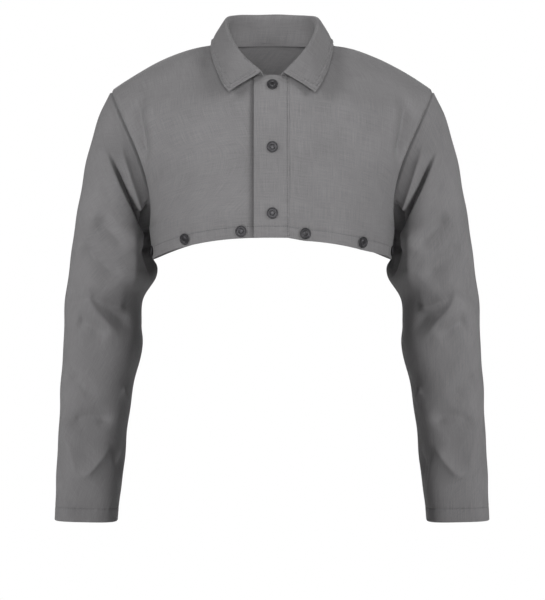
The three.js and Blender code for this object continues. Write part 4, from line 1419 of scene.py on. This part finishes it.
class CAPE_OT_snaps(bpy.types.Operator):
    """Make the snaps of the front and hem, and the studs under the front snaps"""

    bl_idname = "cape.snaps"
    bl_label = "Snaps"

    def execute(self, context):
        cloth, trim = context.scene.cape_cloth, context.scene.cape_trim
        cap, stud = cap_profile(cloth.doubled), stud_profile(cloth.wall)
        for k, z in enumerate(FRONT_SNAP_Z, 1):
            place = front_place(FRONT_SNAP_X, z)
            self.fasten(f"front_snap_{k}", "front_placket", place, cap, trim)
            self.fasten(f"front_stud_{k}", "front_right", place, stud, trim)
        for k, across in enumerate(HEM_SNAPS_ACROSS, 1):
            under = "front_right" if across < 0 else "front_left"
            self.fasten(f"hem_snap_{k}", under, (across, above_hem(HEM_SNAP_UP)), cap, trim)
        return {"FINISHED"}

    def fasten(self, node, under, front, profile, trim):
        """A turned piece on the outer face of a front piece, at an across and at, standing for a CAD node."""
        across, at = front
        place, axis = FRONT_SHEETS[under]().place(at, front_column(under, across, at))
        piece = turned_piece(f"{node}_metal", profile, place, axis, trim.snap_sides, snap_material())
        put_on(piece, node)


# Lights: size, place and aim in metres and spread in degrees, of the left one where there are two
BODY_AIM = (0, 0, -0.37)
SLEEVE_BEAM = {"size": (0.8, 1.2), "aim": (0.22, 0, -0.2), "spread": 70}
LIGHTS = {
    "front_light": {"size": (1.4, 2.0), "place": (0, -3.8, 0.3), "aim": BODY_AIM, "spread": 180},
    "back_light": {"size": (1.4, 1.4), "place": (0, 3.2, 1.0), "aim": BODY_AIM, "spread": 180},
    "key_light": {"size": (1.2, 1.6), "place": (2.7, -1.5, 1.3), "aim": BODY_AIM, "spread": 180},
    "sleeve_light": {"place": (2.2, -1.3, 1.7), **SLEEVE_BEAM},
    "sleeve_front": {"place": (2.0, -2.2, 0.6), **SLEEVE_BEAM},
}
FLOOR_SIDES = 96
FLOOR_PROFILE = [(2500, -20), (2500, -10), (2497, -3), (2480, 0), (2400, 0), (1200, 0), (20, 0)]


class CAPE_OT_stage(bpy.types.Operator):
    """Set the camera, the lights, the room and the floor"""

    bl_idname = "cape.stage"
    bl_label = "Studio"

    def execute(self, context):
        stage = context.scene.cape_stage
        self.set_camera(context.scene, stage)
        front = self.add_light("front_light", stage.front)
        self.add_light("back_light", stage.back)
        sleeves = {-1: ["sleeve_right_cloth", "sleeve_right_stitches"]}
        sleeves[1] = ["sleeve_left_cloth", "sleeve_left_stitches"]
        for side, own in sleeves.items():
            key = self.add_light("key_light", stage.key, side)
            self.link_light(key, sleeves[-1] + sleeves[1], "EXCLUDE")
            key.light_linking.blocker_collection = key.light_linking.receiver_collection
            for name, watts in (("sleeve_light", stage.sleeve), ("sleeve_front", stage.sleeve_front)):
                self.link_light(self.add_light(name, watts, side), own, "INCLUDE")
        self.link_light(front, sleeves[-1] + sleeves[1], "EXCLUDE")
        self.set_room(context.scene, stage)
        self.lay_floor(stage)
        return {"FINISHED"}

    def set_camera(self, scene, stage):
        """A long lens at the photograph's height that takes in the view height."""
        camera = bpy.data.cameras.new("camera")
        camera.sensor_width = 36
        camera.lens = camera.sensor_width * stage.distance / stage.view_height
        camera.clip_end = 50
        holder = bpy.data.objects.new("camera", camera)
        holder.location = (stage.aside, -stage.distance, stage.height)
        holder.rotation_euler = (np.pi / 2, 0, 0)
        scene.collection.objects.link(holder)
        scene.camera = holder
        scene.view_settings.view_transform = "Standard"

    def add_light(self, name, watts, side=1):
        """A rectangular area light that looks at its aim, with a grid that narrows its beam, mirrored for the
        wearer's right side."""
        row = LIGHTS[name]
        light = bpy.data.lights.new(name, "AREA")
        light.shape = "RECTANGLE"
        light.size, light.size_y = row["size"]
        light.energy = watts
        light.spread = np.radians(row["spread"])
        holder = bpy.data.objects.new(name, light)
        place, aim = (Vector((side * x, y, z)) for x, y, z in (row["place"], row["aim"]))
        holder.location = place
        holder.rotation_euler = (aim - place).to_track_quat("-Z", "Y").to_euler()
        bpy.context.scene.collection.objects.link(holder)
        return holder

    def link_light(self, holder, names, state):
        """Let a light reach only the named pieces, or all but them, as flags in a studio do."""
        group = bpy.data.collections.new(f"{holder.name}_pieces")
        for name in names:
            group.objects.link(bpy.data.objects[name])
        for member in group.collection_objects:
            member.light_linking.link_state = state
        holder.light_linking.receiver_collection = group

    def set_room(self, scene, stage):
        """An even, dim room whose walls look white."""
        world = bpy.data.worlds.new("room")
        scene.world = world
        world.use_nodes = True
        graph = Graph(world.node_tree)
        white = (1, 1, 1, 1)
        glow = graph.node("ShaderNodeBackground", {}, {"Color": white, "Strength": stage.room})
        walls = graph.node("ShaderNodeBackground", {}, {"Color": white, "Strength": 1.0})
        seen = graph.node("ShaderNodeLightPath").outputs["Is Camera Ray"]
        values = {0: seen, 1: glow.outputs["Background"], 2: walls.outputs["Background"]}
        both = graph.node("ShaderNodeMixShader", {}, values)
        graph.node("ShaderNodeOutputWorld", {}, {"Surface": both.outputs["Shader"]})

    def lay_floor(self, stage):
        """A round slab: a flat profile with a rounded rim, carried round the upright axis."""
        place = np.array([0, 0, stage.floor / MM])
        turned_piece("floor", FLOOR_PROFILE, place, (0, 0, 1), FLOOR_SIDES, floor_material())


class CAPE_PT_panel(bpy.types.Panel):
    """Steps that make the cape"""

    bl_idname = "CAPE_PT_panel"
    bl_label = "Welding cape sleeve"
    bl_space_type = "VIEW_3D"
    bl_region_type = "UI"
    bl_category = "Cape"

    def draw(self, context):
        for step in STEPS:
            self.layout.operator(step.bl_idname)
        for group in (context.scene.cape_cloth, context.scene.cape_trim, context.scene.cape_stage):
            box = self.layout.box()
            for name in group.__annotations__:
                box.prop(group, name)


STEPS = [CAPE_OT_back, CAPE_OT_fronts, CAPE_OT_collar, CAPE_OT_sleeves, CAPE_OT_snaps, CAPE_OT_stage]
GROUPS = {"cape_cloth": CapeCloth, "cape_trim": CapeTrim, "cape_stage": CapeStage}


def register():
    """Register the classes and hang the settings on the scene."""
    for group in (*GROUPS.values(), *STEPS, CAPE_PT_panel):
        bpy.utils.register_class(group)
    for name, group in GROUPS.items():
        setattr(bpy.types.Scene, name, PointerProperty(type=group))


def unregister():
    """Take the settings and classes away again."""
    for name in GROUPS:
        delattr(bpy.types.Scene, name)
    for group in (CAPE_PT_panel, *reversed(STEPS), *reversed(GROUPS.values())):
        bpy.utils.unregister_class(group)


def main():
    """Make the whole cape step by step."""
    register()
    for step in STEPS:
        group, name = step.bl_idname.split(".")
        getattr(getattr(bpy.ops, group), name)()


if __name__ == "__main__":
    main()
